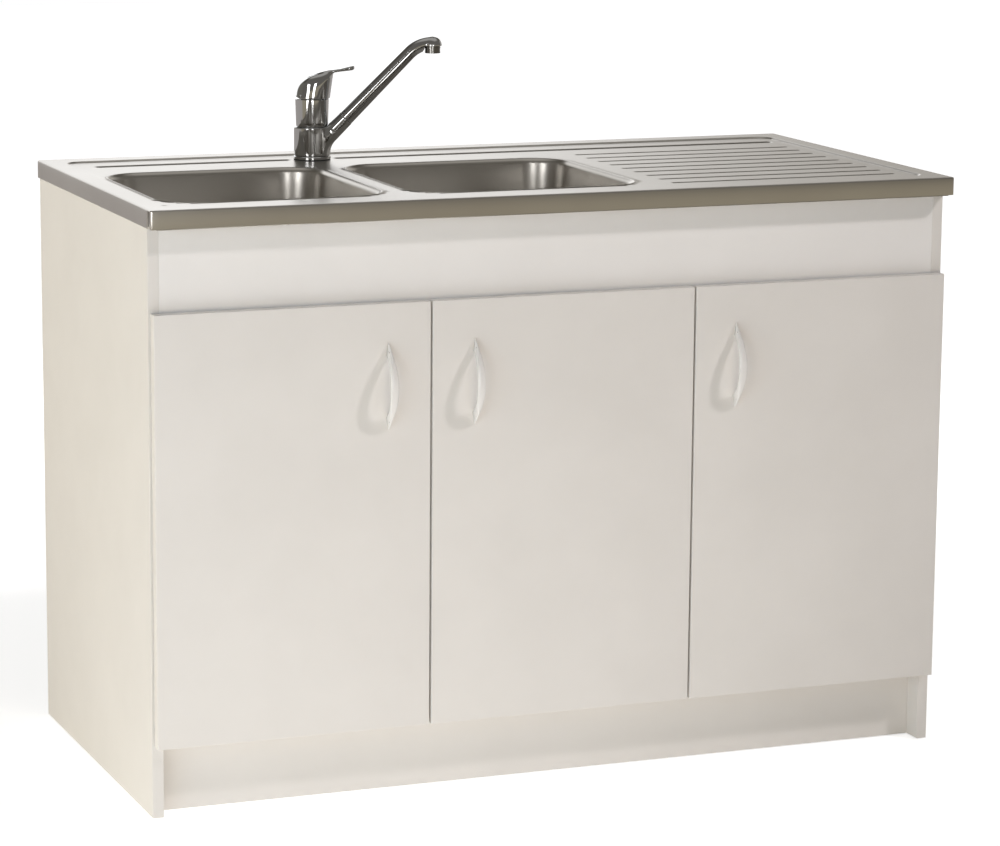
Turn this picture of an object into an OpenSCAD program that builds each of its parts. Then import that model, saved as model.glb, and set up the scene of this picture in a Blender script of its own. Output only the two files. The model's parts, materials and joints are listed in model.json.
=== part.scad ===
// Sink base cabinet: three doors under a sit-on sink with two bowls, a drainer and a mixer tap.
// Millimetres. +Z is up, the doors face -Y, and the floor is at z = 0.

/* [Overall] */
// Width of the sink top
sink_w = 1200; // [1000:10:1440]
// Depth of the sink top, front to back
sink_d = 600; // [500:5:720]
// Height from the floor to the top of the sink's rim
total_h = 845; // [700:5:1015]

/* [Carcass] */
// Thickness of the carcass boards
board_t = 16; // [13:0.5:19]
// Rounding of a board's banded edges
band_r = 0.6; // [0.3:0.1:1]
// How far the sink stands past each side panel
side_overhang = 3; // [2:0.5:6]
// How far the sink stands past the carcass front
front_overhang = 28; // [20:1:40]
// How far the sink stands past the carcass back
rear_overhang = 2; // [2:0.5:20]
// Height of the plinth board
plinth_h = 100; // [60:5:150]
// Distance of the plinth behind the carcass front
plinth_recess = 32; // [20:1:70]
// Distance of the rear plinth in front of the carcass back
rear_recess = 44; // [20:1:90]
// Height of the nail-on glides
glide_h = 2; // [1:0.5:6]
// Radius of a glide
glide_r = 7.5; // [5.5:0.5:7.5]
// Height of the fascia board
fascia_h = 150; // [120:5:180]
// Height of the rear top rail
rail_h = 100; // [70:5:140]
// Thickness of the hardboard back
back_t = 3; // [2.5:0.5:6]
// Depth of the groove that holds the hardboard back
groove_depth = 5; // [4:0.5:5.5]
// Distance of the hardboard back in front of the carcass back
back_inset = 27; // [24:1:60]
// Height of the shelf above the bottom panel
shelf_rise = 288; // [192:32:384]
// Distance of the shelf behind the carcass front
shelf_recess = 40; // [20:5:80]

/* [Doors] */
// Thickness of the doors
door_t = 16; // [15:0.5:19]
// Gap between two doors
door_gap = 3; // [2.8:0.1:5]
// Margin between an outer door and the cabinet's side
door_reveal = 3; // [2.8:0.1:6]
// Gap between the doors and the carcass front
door_standoff = 2; // [2:0.1:4]
// How far the doors overlap the fascia
door_lap = 11; // [8:1:20]
// Height of the doors' lower edge above the plinth
door_rise = 1; // [0:0.5:6]

/* [Handles] */
// Distance between a handle's two screws
handle_pitch = 96; // [64:1:160]
// Overall length of a handle
handle_len = 122; // [100:1:190]
// Greatest width of a handle
handle_w = 12; // [9:0.5:18]
// How far a handle stands out from its door
handle_out = 30; // [24:1:40]
// Thickness of a handle's bow
handle_bow = 6.5; // [5:0.5:9]
// Distance from a door's free edge to its handle
handle_edge = 62; // [40:1:90]
// Height of the handle's middle below the door's top edge
handle_drop = 115; // [90:5:200]

/* [Hinges] */
// Distance of a hinge's middle from the door's end
hinge_end = 92; // [70:1:120]
// Radius of a hinge cup
cup_r = 17.5; // [17.5:0.1:17.6]
// Depth of a hinge cup
cup_depth = 13.5; // [13:0.1:14]
// Radius of a hinge pin
hinge_pin_r = 1; // [0.9:0.05:1.1]
// Running clearance of a pin in its bore, on the radius
run_gap = 0.05; // [0.02:0.01:0.09]

/* [Sink top] */
// Thickness of the stainless sheet
sheet = 0.8; // [0.7:0.1:1]
// Height of the skirt around the sink top
skirt_h = 26; // [20:1:40]
// Radius of the skirt's top bend
bend_r = 2; // [1.5:0.1:2.5]
// Radius of the sink's outer corners
corner_r = 3; // [2.8:0.1:3.5]
// Width of the raised rim at the front and the sides
rim_w = 30; // [24:1:34]
// Width of the raised rim at the back
rim_back = 38; // [30:1:60]
// How far the deck lies below the rim
deck_drop = 2; // [1.5:0.1:3]
// Distance from the sink's left edge to the left bowl
bowl_left = 40; // [38:1:60]
// Distance from the sink's front edge to the bowls
bowl_front = 72; // [60:1:90]
// Distance from the sink's back edge to the bowls
bowl_back = 178; // [160:1:200]
// Width of the deck between the bowls
bowl_divider = 27; // [24:1:60]
// Width of the left bowl at the deck
left_bowl_w = 331; // [270:1:400]
// Width of the right bowl at the deck
right_bowl_w = 354; // [290:1:430]
// Depth of the bowls below the deck
bowl_depth = 150; // [120:5:180]
// Radius of the bowls' corners in plan
bowl_corner = 60; // [54:1:80]
// Radius of the rolled edge around a bowl
lip_r = 8; // [5:0.5:10]
// Radius between a bowl's walls and its floor
bowl_fillet = 40; // [30:1:42]
// Slope of a bowl's walls
bowl_draft = 5; // [2:0.5:6]
// Number of grooves in the drainer
drain_grooves = 9; // [5:1:12]

/* [Wastes] */
// Radius of the waste's hole in a bowl
waste_hole_r = 30; // [26:0.5:34]
// Radius of the threaded outlet under a bowl
outlet_r = 23.9; // [20:0.1:24]
// Length of the threaded outlet
outlet_len = 38; // [25:1:60]

/* [Tap] */
// Distance from the sink's back edge to the tap
tap_back = 95; // [70:1:110]
// How far the tap stands to the right of the middle between the bowls
tap_shift = 10; // [0:0.5:20]
// Direction of the spout and the lever, from +X towards the front
tap_turn = 25; // [0:5:90]
// Radius of the tap's upper body
tap_r = 25; // [22:0.5:29]
// Height of the turning collar under the tap's upper body
collar_h = 43; // [38:1:52]
// Height of the tap's fixed upper body
tap_head_h = 41.5; // [36:0.5:50]
// Reach of the spout from the tap's axis
spout_reach = 179; // [150:1:214]
// Height of the spout's end above the deck
spout_rise = 174; // [150:1:209]
// Radius of the spout's tube at its end
spout_end_r = 9.8; // [8.5:0.1:10.5]
// Length of the lever from the tap's axis
lever_len = 63.5; // [53:0.5:76]
// Largest lift of the lever
lever_lift_max = 20; // [10:1:24]

/* [Hidden] */
$fn = 48;
// A hair of depth that lets a cut run past the face it opens
eps = 0.05;

// Carcass planes
carcass_w = sink_w - 2 * side_overhang;
carcass_d = sink_d - front_overhang - rear_overhang;
reach = handle_out + door_t + door_standoff;
front_y = reach - (max(reach, front_overhang) + carcass_d + rear_overhang) / 2;
back_y = front_y + carcass_d;
half_w = carcass_w / 2;
inner_x = half_w - board_t;
sink_front = front_y - front_overhang;
sink_back = back_y + rear_overhang;
deck_top = total_h - deck_drop;
deck_low = deck_top - sheet;
rim_low = total_h - sheet;
bottom_z = glide_h + plinth_h;
floor_z = bottom_z + board_t;
fascia_z = deck_low - fascia_h;
back_panel_y = back_y - back_inset;
back_panel_fit = 0.2;
partition_screw_r = 2.5;
partition_screw_len = 50;
partition_head_r = 5;
partition_hex = 2;
// The groove stays clear of the screws along the middle of the partition
groove_in = min(groove_depth, board_t / 2 - partition_screw_r - 0.3);

// Door planes: the doors are numbered 0, 1, 2 from the left
door_back = front_y - door_standoff;
door_front = door_back - door_t;
door_low = bottom_z + door_rise;
door_high = fascia_z + door_lap;
door_w = (carcass_w - 2 * door_reveal - 2 * door_gap) / 3;
function door_x(i) = -half_w + door_reveal + i * (door_w + door_gap);
// The left door hinges on its left edge, the other two on their right edges
function hinge_x(i) = i == 0 ? door_x(0) : door_x(i) + door_w;
function handle_x(i) = i == 0 ? door_x(0) + door_w - handle_edge : door_x(i) + handle_edge;
handle_z = door_high - handle_drop;
hinge_heights = [door_low + hinge_end, door_high - hinge_end];
door_edge_r = 1.2;

// The partition stands behind the gap between the middle and the right door
partition_x = door_x(2) - door_gap / 2;
partition_left = partition_x - board_t / 2;
partition_right = partition_x + board_t / 2;
partition_back = back_y - board_t;
// Its screws come up through the bottom panel and forward through the rear top rail
partition_screw_ys = [front_y + 80, back_y - 130];
partition_screw_zs = [rim_low - 30, rim_low - rail_h + 25];
// Room left between the partition and the pressings above it
deck_room = 8;
bowl_room = 6;

// Shelf and its pins, in holes of the usual 32 mm system
system_pitch = 32;
shelf_z = floor_z + shelf_rise;
shelf_fit = 1.2;
shelf_front = front_y + shelf_recess;
shelf_back = back_panel_y - 3;
pin_hole_r = 2.5;
pin_depth = 9;
pin_out = 7;
pin_collar = 1;
pin_rows = [shelf_front + 40, shelf_back - 50];
pin_steps = [-2, -1, 0, 1, 2];

// Cam fittings and dowels
cam_r = 7.5;
cam_depth = 12.5;
cam_reach = 34;
cam_bolt_r = 3;
cam_bore_r = 3.5;
cam_screw_r = 2.5;
cam_screw_depth = 11;
cam_bolt_head = 4;
cam_bolt_neck = 2;
cam_lock_h = cam_depth - 0.5;
cam_lock_r = cam_r - 0.1;
cam_slot = 8;
cam_slot_w = 1.4;
cam_slot_deep = 1.5;
dowel_r = 4;
dowel_in_side = 10;
dowel_in_board = 20;
// Each joint of a board's end with a side panel: y, z, and the turn of the face that takes the cam
cam_joints = [
    [front_y + 70, bottom_z + board_t / 2, 180],
    [back_y - 110, bottom_z + board_t / 2, 180],
    [front_y + board_t / 2, fascia_z + fascia_h - 45, -90],
    [back_y - board_t / 2, rim_low - 30, 90]
];
dowel_joints = [
    [front_y + 110, bottom_z + board_t / 2],
    [back_y - 160, bottom_z + board_t / 2],
    [front_y + board_t / 2, fascia_z + 40],
    [back_y - board_t / 2, rim_low - rail_h + 25],
    [front_y + plinth_recess + board_t / 2, glide_h + plinth_h / 3],
    [front_y + plinth_recess + board_t / 2, glide_h + plinth_h * 2 / 3],
    [back_y - rear_recess - board_t / 2, glide_h + plinth_h / 2]
];
glide_ys = [front_y + 57, back_y - 75];
glide_nail_r = 1.2;
glide_nail = 12;
glide_taper = 1;

// Screw holes for the wall, through the rear top rail
wall_hole_r = 3;
wall_hole_x = inner_x - 120;

// Buffers behind the doors' free edges
bumper_r = 4;
bumper_edge = 15;
bumper_gap = 0.3;
bumper_zs = [bottom_z + board_t / 2, door_high - bumper_r - 1.5];

// Hinge section, measured from the hinge edge of the door (u) and from its back face (w)
pin_u = 6;
pin_w = -10;
cup_u = cup_r + 2.5;
cup_wall = 0.8;
cup_flange = 1;
eye_r = 1.8;
eye_half = 3.5;
eye_flat = eye_r - 0.6;
limb_u = pin_u + 12.2;
limb_t = 3;
web_w = door_standoff + 4;
web_t = 4;
arm_h = 8.5;
arm_half = 8;
arm_end = 60;
arm_wall = 1.5;
arm_holes = [[arm_end - 12, 3], [door_standoff + 20, 2.4]];
plate_t = 2.5;
plate_wing = 10;
plate_wing_end = 7;
plate_front = door_standoff + 8;
tongue_front = plate_front + 4;
tongue_end = arm_end - 12;
tongue_h = arm_h - 3;
hinge_pin_half = 7;
cup_rim = 0.9;
cup_wing = 6;
cup_wing_r = 4;
cup_lug = 6;
cup_lug_room = 0.4;
cup_lug_end = 3.4;
plate_screw_w = 37;
plate_screw_z = 16;
cup_screw_u = 30;
cup_screw_z = 22.5;
screw_r = 2;
screw_len = 12;
screw_head_r = 4;
screw_head_h = 1.6;
screw_cross = 4.4;
screw_cross_w = 0.8;
full_face_u = board_t - door_reveal;
half_face_u = (board_t - door_gap) / 2;

// Handle section
handle_screw_r = 2;
handle_bore_r = 2.25;
handle_screw_in = 10;

// Sink plan
rim_slope = 3;
rim_corner = 24;
left_bowl_x0 = -sink_w / 2 + bowl_left;
left_bowl_x1 = left_bowl_x0 + left_bowl_w;
right_bowl_x0 = left_bowl_x1 + bowl_divider;
right_bowl_x1 = right_bowl_x0 + right_bowl_w;
bowl_y0 = sink_front + bowl_front;
bowl_y1 = sink_back - bowl_back;
bowl_mid_y = (bowl_y0 + bowl_y1) / 2;
bowl_xs = [[left_bowl_x0, left_bowl_x1], [right_bowl_x0, right_bowl_x1]];
hem = 6;
flange_w = 12;
seam_w = 0.7;

// Wall of a bowl, measured from the deck's top and from the centres of its corners
lip_end = [bowl_corner - lip_r * cos(bowl_draft), -lip_r + lip_r * sin(bowl_draft)];
wall_low_z = -bowl_depth + bowl_fillet - bowl_fillet * sin(bowl_draft);
wall_low_r = lip_end[0] - (lip_end[1] - wall_low_z) * tan(bowl_draft);
fillet_x = wall_low_r - bowl_fillet * cos(bowl_draft);

// Tap place
tap_x = (left_bowl_x1 + right_bowl_x0) / 2 + tap_shift;
tap_y = sink_back - tap_back;
tap_hole_r = 17.5;
shank_r = 16;

// Grooves pressed into the deck
ledge_groove_r = 22;
ledge_groove_deep = 2.6;
ledge_end_left = 59;
ledge_end_right = 47;
tap_clear = 42;
drain_groove_r = 8;
drain_groove_deep = 1.8;
drain_x0 = right_bowl_x1 + 42;
drain_x1 = sink_w / 2 - rim_w - rim_slope - 26;
drain_y0 = bowl_y0 + 8;
drain_y1 = bowl_y1 + 14;

// Waste section, measured down from the top of a bowl's floor
dish_r = 43;
dish_deep = 3;
waste_flange_r = 41;
waste_body_r = 40;
waste_seal_t = 2;
waste_seal_r = waste_body_r - 2.5;
waste_screw_r = 3;
waste_screw_head_r = 5.5;
waste_screw_head = 2.4;
strainer_deep = 6.5;
strainer_hole_r = 4.5;
strainer_hole_at = 15;
waste_depth = 26;
waste_wall = 3;
bridge_deep = 16;
bridge_t = 6;
bridge_w = 3;
bowl_floor = deck_top - bowl_depth;

// Tap section, measured up from the deck
tap_foot = 6;
tap_seal_t = 1.5;
collar_fit = 0.3;
collar_r = tap_r + 2;
foot_r = collar_r + 0.6;
core_r = 14;
neck_z = tap_foot + collar_h;
head_z = neck_z + tap_head_h;
stem_r = 17.9;
stem_depth = 14;
shank_len = 62;
tail_r = 5;
tail_len = 210;
tail_x = 7;
tail_top = 6;
nut_r = 24;
nut_h = 11;
nut_washer_r = 27;
nut_washer_t = 3;

// The spout's line in the plane of its reach: straight up from the collar, then an arc to its end
slope = 46;
spout_dir = [cos(slope), sin(slope)];
spout_bend_r = 48;
spout_bend = [spout_reach - spout_bend_r * sin(slope), spout_rise - spout_bend_r * (1 - cos(slope))];
spout_foot = spout_bend - spout_bend[0] / cos(slope) * spout_dir;
root_len = 73;
root_r = 13;
joint_r = 12;
tube_r = 11.6;
tenon_r = 8;
tenon_len = 19;
spout_joint = spout_foot + root_len * spout_dir;
// The tenon runs a little into the tube, so that the two are one piece
tenon_low = spout_joint - tenon_len * spout_dir;
tenon_top = spout_joint + spout_dir;
ball_r = 12;
ball_shift = 2;
aerator_h = 10.5;
aerator_top = spout_rise - 3.5;
aerator_r = 11.7;

// Lever section, measured from the tap's axis and from the top of its upper body
hood_r = tap_r + 1.2;
hood_lean = 8;
hood_line = [
    [-hood_r, 9], [-24.4, 15], [-22.4, 18.7], [-19.5, 22], [-15, 25.6], [-10.6, 28.4], [-6, 30.9],
    [-1.6, 33.1], [3, 35.2], [7.4, 36.9], [11.8, 38.4], [16.2, 39.8], [20.7, 41.1], [25.2, 42.2], [36, 43.6]
];
arch_r = 33;
arch_z = 9;
lever_fit = 0.5;
lever_pivot_x = -13;
lever_pivot_z = head_z + 5;
lever_pin_r = 2;
lever_pin_half = 21;
lug_r = 4;
lug_half = 7;
lever_wall = 3;
hood_roof = 5;
blade_tip_r = 8;

// Clips that hold the sink to the side panels
clip_w = 30;
clip_h = 34;
clip_t = 1.5;
clip_out = 14;
clip_screw_z = 10 - clip_h;
clip_ys = [front_y + 150, back_y - 150];

white = "#efeeea";
steel = "#b9b5ae";
chrome = "#d8dadc";
zinc = "#a9abad";

// Points on an arc, from angle a0 to a1
function arc(cx, cy, r, a0, a1, n = 8) =
    [for (k = [0 : n]) [cx + r * cos(a0 + (a1 - a0) * k / n), cy + r * sin(a0 + (a1 - a0) * k / n)]];

// A rectangle with round corners, from its two corners
module round_rect(x0, x1, y0, y1, r) {
    translate([x0 + r, y0]) square([x1 - x0 - 2 * r, y1 - y0]);
    translate([x0, y0 + r]) square([x1 - x0, y1 - y0 - 2 * r]);
    for (x = [x0 + r, x1 - r], y = [y0 + r, y1 - r])
        translate([x, y]) circle(r);
}

// A board with rounded edges, from its low corner
module board(at, size, r = band_r) {
    translate(at)
        intersection() {
            linear_extrude(size[2]) round_rect(0, size[0], 0, size[1], r);
            translate([0, size[1], 0]) rotate([90, 0, 0])
                linear_extrude(size[1]) round_rect(0, size[0], 0, size[2], r);
        }
}

// Sweeps a profile round a rectangle whose corners have radius r.
// The profile's x runs outwards from a corner's centre and its y runs up.
module ring_sweep(x0, x1, y0, y1, r) {
    across = x1 - x0 - 2 * r;
    along = y1 - y0 - 2 * r;
    spots = [
        [x1 - r, y1 - r, along], [x0 + r, y1 - r, across],
        [x0 + r, y0 + r, along], [x1 - r, y0 + r, across]
    ];
    for (k = [0 : 3])
        translate([spots[k][0], spots[k][1], 0]) rotate([0, 0, 90 * k]) {
            rotate_extrude(angle = 90) children();
            rotate([90, 0, 0]) linear_extrude(spots[k][2]) children();
        }
}

// Puts a fitting at a board's end on both side panels; x = 0 is the side panel's inner face
module at_sides(y, z, turn = 0) {
    for (s = [0, 1])
        mirror([s, 0, 0]) translate([-inner_x, y, z]) rotate([turn, 0, 0]) children();
}

module rod_x(x0, x1, r) {
    translate([x0, 0, 0]) rotate([0, 90, 0]) cylinder(h = x1 - x0, r = r);
}

module rod_y(y0, y1, r) {
    translate([0, y1, 0]) rotate([90, 0, 0]) cylinder(h = y1 - y0, r = r);
}

// The cross in a fitting's face at z = 0
module cross_slot(len, wide, deep) {
    for (a = [0, 90])
        rotate([0, 0, a]) translate([-len / 2, -wide / 2, -deep]) cube([len, wide, deep + 1]);
}

module cam_cuts() {
    for (j = cam_joints)
        at_sides(j[0], j[1], j[2]) {
            rod_x(-cam_screw_depth, 0, cam_screw_r);
            rod_x(-eps, cam_reach, cam_bore_r);
            translate([cam_reach, 0, board_t / 2 - cam_depth]) cylinder(h = cam_depth + 1, r = cam_r);
        }
}

module dowel_cuts() {
    for (j = dowel_joints)
        at_sides(j[0], j[1]) rod_x(-dowel_in_side, dowel_in_board, dowel_r);
}

module cam_bolts() {
    neck = cam_reach - cam_bolt_head - cam_bolt_neck;
    color(zinc)
        for (j = cam_joints)
            at_sides(j[0], j[1], j[2]) {
                rod_x(-cam_screw_depth, 0, cam_screw_r);
                rod_x(0, neck, cam_bolt_r);
                rod_x(neck, neck + cam_bolt_neck, cam_bolt_r - 1);
                rod_x(neck + cam_bolt_neck, cam_reach, cam_bolt_r);
            }
}

module cam_locks() {
    color(zinc)
        for (j = cam_joints)
            at_sides(j[0], j[1], j[2])
                translate([cam_reach, 0, board_t / 2 - cam_depth])
                    difference() {
                        cylinder(h = cam_lock_h, r = cam_lock_r);
                        translate([0, 0, cam_depth - board_t / 2]) rod_x(-cam_r - 1, 1, cam_bore_r);
                        translate([0, 0, cam_lock_h]) cross_slot(cam_slot, cam_slot_w, cam_slot_deep);
                    }
}

module dowels() {
    color("burlywood")
        for (j = dowel_joints)
            at_sides(j[0], j[1]) rod_x(-dowel_in_side, dowel_in_board, dowel_r);
}

// The places of the shelf pins' holes: x of the face, turn, y, z
module at_pin_holes(steps) {
    for (y = pin_rows, k = steps)
        translate([0, y, shelf_z - pin_hole_r + k * system_pitch]) {
            translate([inner_x, 0, 0]) children();
            translate([partition_right, 0, 0]) mirror([1, 0, 0]) children();
        }
}

module pin_cuts() {
    at_pin_holes(pin_steps) rod_x(0, pin_depth, pin_hole_r);
}

module shelf_pins() {
    color(zinc)
        at_pin_holes([0]) {
            rod_x(-pin_out, pin_depth - 1, pin_hole_r);
            rod_x(-pin_collar, 0, pin_hole_r + 2);
        }
}

module back_groove() {
    translate([partition_right - groove_in, back_panel_y - back_t - back_panel_fit, floor_z - groove_in])
        cube([inner_x - partition_right + 2 * groove_in, back_t + 2 * back_panel_fit, total_h]);
}

module back_panel() {
    color("tan")
        translate([partition_right - groove_in + back_panel_fit, back_panel_y - back_t, floor_z - groove_in])
            cube([
                inner_x - partition_right + 2 * groove_in - 2 * back_panel_fit,
                back_t,
                deck_low - deck_room - floor_z + groove_in
            ]);
}

// The doors' hinges: x is u, y is w, and z runs from the hinge's middle
module at_hinges(i) {
    for (z = hinge_heights)
        translate([hinge_x(i), door_back, z]) mirror([i == 0 ? 0 : 1, 0, 0]) children();
}

module plate_screw_cuts(i, face_u) {
    at_hinges(i)
        for (z = [-plate_screw_z, plate_screw_z])
            translate([0, plate_screw_w, z]) rod_x(face_u - screw_len, face_u + eps, screw_r);
}

module side_panel(s) {
    difference() {
        mirror([s, 0, 0])
            board([-half_w, front_y, glide_h], [board_t, carcass_d, rim_low - glide_h]);
        cam_cuts();
        dowel_cuts();
        for (y = glide_ys)
            mirror([s, 0, 0]) translate([-half_w + board_t / 2, y, 0])
                cylinder(h = glide_h + glide_nail, r = glide_nail_r);
        if (s == 0)
            plate_screw_cuts(0, full_face_u);
        if (s == 1) {
            plate_screw_cuts(2, full_face_u);
            pin_cuts();
            back_groove();
        }
        clip_screw_cuts();
    }
}

module left_side_panel() {
    color(white) side_panel(0);
}

module right_side_panel() {
    color(white) side_panel(1);
}

// The places of the screws that go up into the partition and forward into its rear edge
module at_partition_screws() {
    for (y = partition_screw_ys)
        translate([partition_x, y, bottom_z]) children();
    for (z = partition_screw_zs)
        translate([partition_x, back_y, z]) rotate([90, 0, 0]) children();
}

module countersunk(r, len, head_r) {
    cylinder(h = len, r = r);
    cylinder(h = head_r - r, r1 = head_r, r2 = r);
}

module partition_screws() {
    color(zinc)
        at_partition_screws()
            difference() {
                countersunk(partition_screw_r, partition_screw_len, partition_head_r);
                translate([0, 0, -eps]) cylinder(h = partition_hex, r = partition_hex, $fn = 6);
            }
}

module partition() {
    color(white)
        difference() {
            board(
                [partition_left, front_y, floor_z],
                [board_t, partition_back - front_y, deck_low - deck_room - floor_z]
            );
            for (b = bowl_xs)
                translate([b[0] - bowl_room, bowl_y0 - bowl_room, bowl_floor - sheet - bowl_room])
                    cube([b[1] - b[0] + 2 * bowl_room, bowl_y1 - bowl_y0 + 2 * bowl_room, bowl_depth + 20]);
            translate([partition_left - 1, front_y - 1, fascia_z])
                cube([board_t + 2, board_t + 1, fascia_h + 1]);
            at_partition_screws() cylinder(h = partition_screw_len, r = partition_screw_r);
            plate_screw_cuts(1, half_face_u);
            pin_cuts();
            back_groove();
        }
}

module bottom_panel() {
    color(white)
        difference() {
            board([-inner_x, front_y, bottom_z], [2 * inner_x, carcass_d, board_t]);
            cam_cuts();
            dowel_cuts();
            at_partition_screws() countersunk(partition_screw_r, partition_screw_len, partition_head_r);
            back_groove();
        }
}

module plinth() {
    color(white)
        difference() {
            board([-inner_x, front_y + plinth_recess, glide_h], [2 * inner_x, board_t, plinth_h]);
            dowel_cuts();
        }
}

module rear_plinth() {
    color(white)
        difference() {
            board([-inner_x, back_y - rear_recess - board_t, glide_h], [2 * inner_x, board_t, plinth_h]);
            dowel_cuts();
        }
}

module fascia() {
    color(white)
        difference() {
            board([-inner_x, front_y, fascia_z], [2 * inner_x, board_t, fascia_h]);
            cam_cuts();
            dowel_cuts();
        }
}

module rear_top_rail() {
    color(white)
        difference() {
            board([-inner_x, back_y - board_t, rim_low - rail_h], [2 * inner_x, board_t, rail_h]);
            cam_cuts();
            dowel_cuts();
            at_partition_screws() countersunk(partition_screw_r, partition_screw_len, partition_head_r);
            for (s = [-1, 1])
                translate([s * wall_hole_x, 0, rim_low - rail_h / 2])
                    rod_y(back_y - board_t - 1, back_y + 1, wall_hole_r);
        }
}

module shelf() {
    color(white)
        board(
            [partition_right + shelf_fit, shelf_front, shelf_z],
            [inner_x - partition_right - 2 * shelf_fit, shelf_back - shelf_front, board_t]
        );
}

module glides() {
    color("whitesmoke")
        for (s = [0, 1], y = glide_ys)
            mirror([s, 0, 0]) translate([-half_w + board_t / 2, y, 0]) {
                cylinder(h = glide_h + glide_nail, r = glide_nail_r);
                cylinder(h = glide_h, r1 = glide_r - glide_taper, r2 = glide_r);
            }
}

module door_bumpers() {
    color("gainsboro")
        for (i = [0 : 2], z = bumper_zs)
            translate([i == 0 ? door_x(0) + door_w - bumper_edge : door_x(i) + bumper_edge, 0, z])
                rod_y(door_back + bumper_gap, front_y, bumper_r);
}

// One hinge arm for a board whose face lies at face_u
module hinge_arm(face_u) {
    arm_u = face_u + plate_t;
    difference() {
        union() {
            translate([pin_u, pin_w, -eye_half]) cylinder(h = 2 * eye_half, r = eye_r);
            translate([pin_u, pin_w - eye_flat, -eye_half])
                cube([limb_u + limb_t - pin_u, 2 * eye_flat, 2 * eye_half]);
            translate([limb_u, pin_w - eye_flat, -eye_half])
                cube([limb_t, web_w - pin_w + eye_flat, 2 * eye_half]);
            translate([min(arm_u, limb_u), web_w, -arm_half])
                cube([max(arm_u + arm_h, limb_u + limb_t) - min(arm_u, limb_u), web_t, 2 * arm_half]);
            translate([arm_u, web_w, -arm_half])
                cube([arm_h, arm_end - web_w, 2 * arm_half]);
        }
        translate([pin_u, pin_w, -eye_half - 1]) cylinder(h = 2 * eye_half + 2, r = hinge_pin_r);
        translate([arm_u - 1, web_w + web_t + 2, -arm_half + arm_wall])
            cube([arm_h + 1 - arm_wall, arm_end, 2 * (arm_half - arm_wall)]);
        for (hole = arm_holes)
            translate([0, hole[0], 0]) rod_x(arm_u, arm_u + arm_h + 1, hole[1]);
    }
}

module hinge_arms() {
    color(zinc) {
        at_hinges(0) hinge_arm(full_face_u);
        at_hinges(2) hinge_arm(full_face_u);
    }
}

module cranked_hinge_arms() {
    color(zinc) at_hinges(1) hinge_arm(half_face_u);
}

module hinge_plate(face_u) {
    difference() {
        union() {
            translate([face_u, plate_screw_w - plate_wing, -plate_screw_z - plate_wing_end])
                cube([plate_t, 2 * plate_wing, 2 * (plate_screw_z + plate_wing_end)]);
            translate([face_u, plate_front, -arm_half])
                cube([plate_t, arm_end - plate_front - 2, 2 * arm_half]);
            translate([face_u + plate_t, tongue_front, -arm_half + 2])
                cube([tongue_h, tongue_end - tongue_front, 2 * arm_half - 4]);
        }
        for (z = [-plate_screw_z, plate_screw_z])
            translate([0, plate_screw_w, z]) rod_x(face_u - 1, face_u + plate_t + 1, screw_r);
    }
}

module hinge_plates() {
    color(zinc) {
        at_hinges(0) hinge_plate(full_face_u);
        at_hinges(1) hinge_plate(half_face_u);
        at_hinges(2) hinge_plate(full_face_u);
    }
}

// A pan-head screw along +X whose head sits on the face at x = 0
module screw_x(len) {
    difference() {
        union() {
            rod_x(-len, 0, screw_r);
            rotate([0, 90, 0]) cylinder(h = screw_head_h, r1 = screw_head_r, r2 = screw_head_r - 1);
        }
        translate([screw_head_h, 0, 0]) rotate([0, 90, 0])
            cross_slot(screw_cross, screw_cross_w, screw_cross_w);
    }
}

module plate_screws(i, face_u) {
    at_hinges(i)
        for (z = [-plate_screw_z, plate_screw_z])
            translate([face_u + plate_t, plate_screw_w, z]) screw_x(plate_t + screw_len);
}

module hinge_plate_screws() {
    color(zinc) {
        plate_screws(0, full_face_u);
        plate_screws(1, half_face_u);
        plate_screws(2, full_face_u);
    }
}

module hinge_pins() {
    color(zinc)
        for (i = [0 : 2])
            at_hinges(i) translate([pin_u, pin_w, -hinge_pin_half])
                cylinder(h = 2 * hinge_pin_half, r = hinge_pin_r);
}

module cup_flange_plan() {
    translate([cup_u, 0]) circle(cup_r + cup_rim);
    round_rect(cup_u, cup_screw_u + cup_wing, -cup_screw_z - cup_wing, cup_screw_z + cup_wing, cup_wing_r);
}

module hinge_cup() {
    difference() {
        union() {
            translate([cup_u, 0, 0])
                rotate([90, 0, 0]) cylinder(h = cup_depth, r = cup_r);
            rotate([-90, 0, 0]) linear_extrude(cup_flange) cup_flange_plan();
        }
        difference() {
            translate([cup_u, cup_flange + 1, 0])
                rotate([90, 0, 0]) cylinder(h = cup_depth + cup_flange + 1 - cup_wall, r = cup_r - cup_wall);
            for (s = [-1, 1])
                translate([0, -cup_depth, s * (eye_half + cup_lug_room + cup_lug / 2) - cup_lug / 2])
                    cube([pin_u + cup_lug_end, cup_depth + pin_w + 3, cup_lug]);
        }
        translate([pin_u, pin_w, -hinge_pin_half - 0.2])
            cylinder(h = 2 * hinge_pin_half + 0.4, r = hinge_pin_r + run_gap);
        for (z = [-cup_screw_z, cup_screw_z])
            translate([cup_screw_u, 0, z]) rod_y(-1, cup_flange + 1, screw_r);
    }
}

module cup_cuts(i) {
    at_hinges(i) {
        translate([cup_u, 0, 0]) rod_y(-cup_depth, 1, cup_r);
        for (z = [-cup_screw_z, cup_screw_z])
            translate([cup_screw_u, 0, z]) rod_y(-screw_len, 1, screw_r);
    }
}

module at_handle_screws(i) {
    for (s = [-1, 1])
        translate([handle_x(i), 0, handle_z + s * handle_pitch / 2]) children();
}

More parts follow.
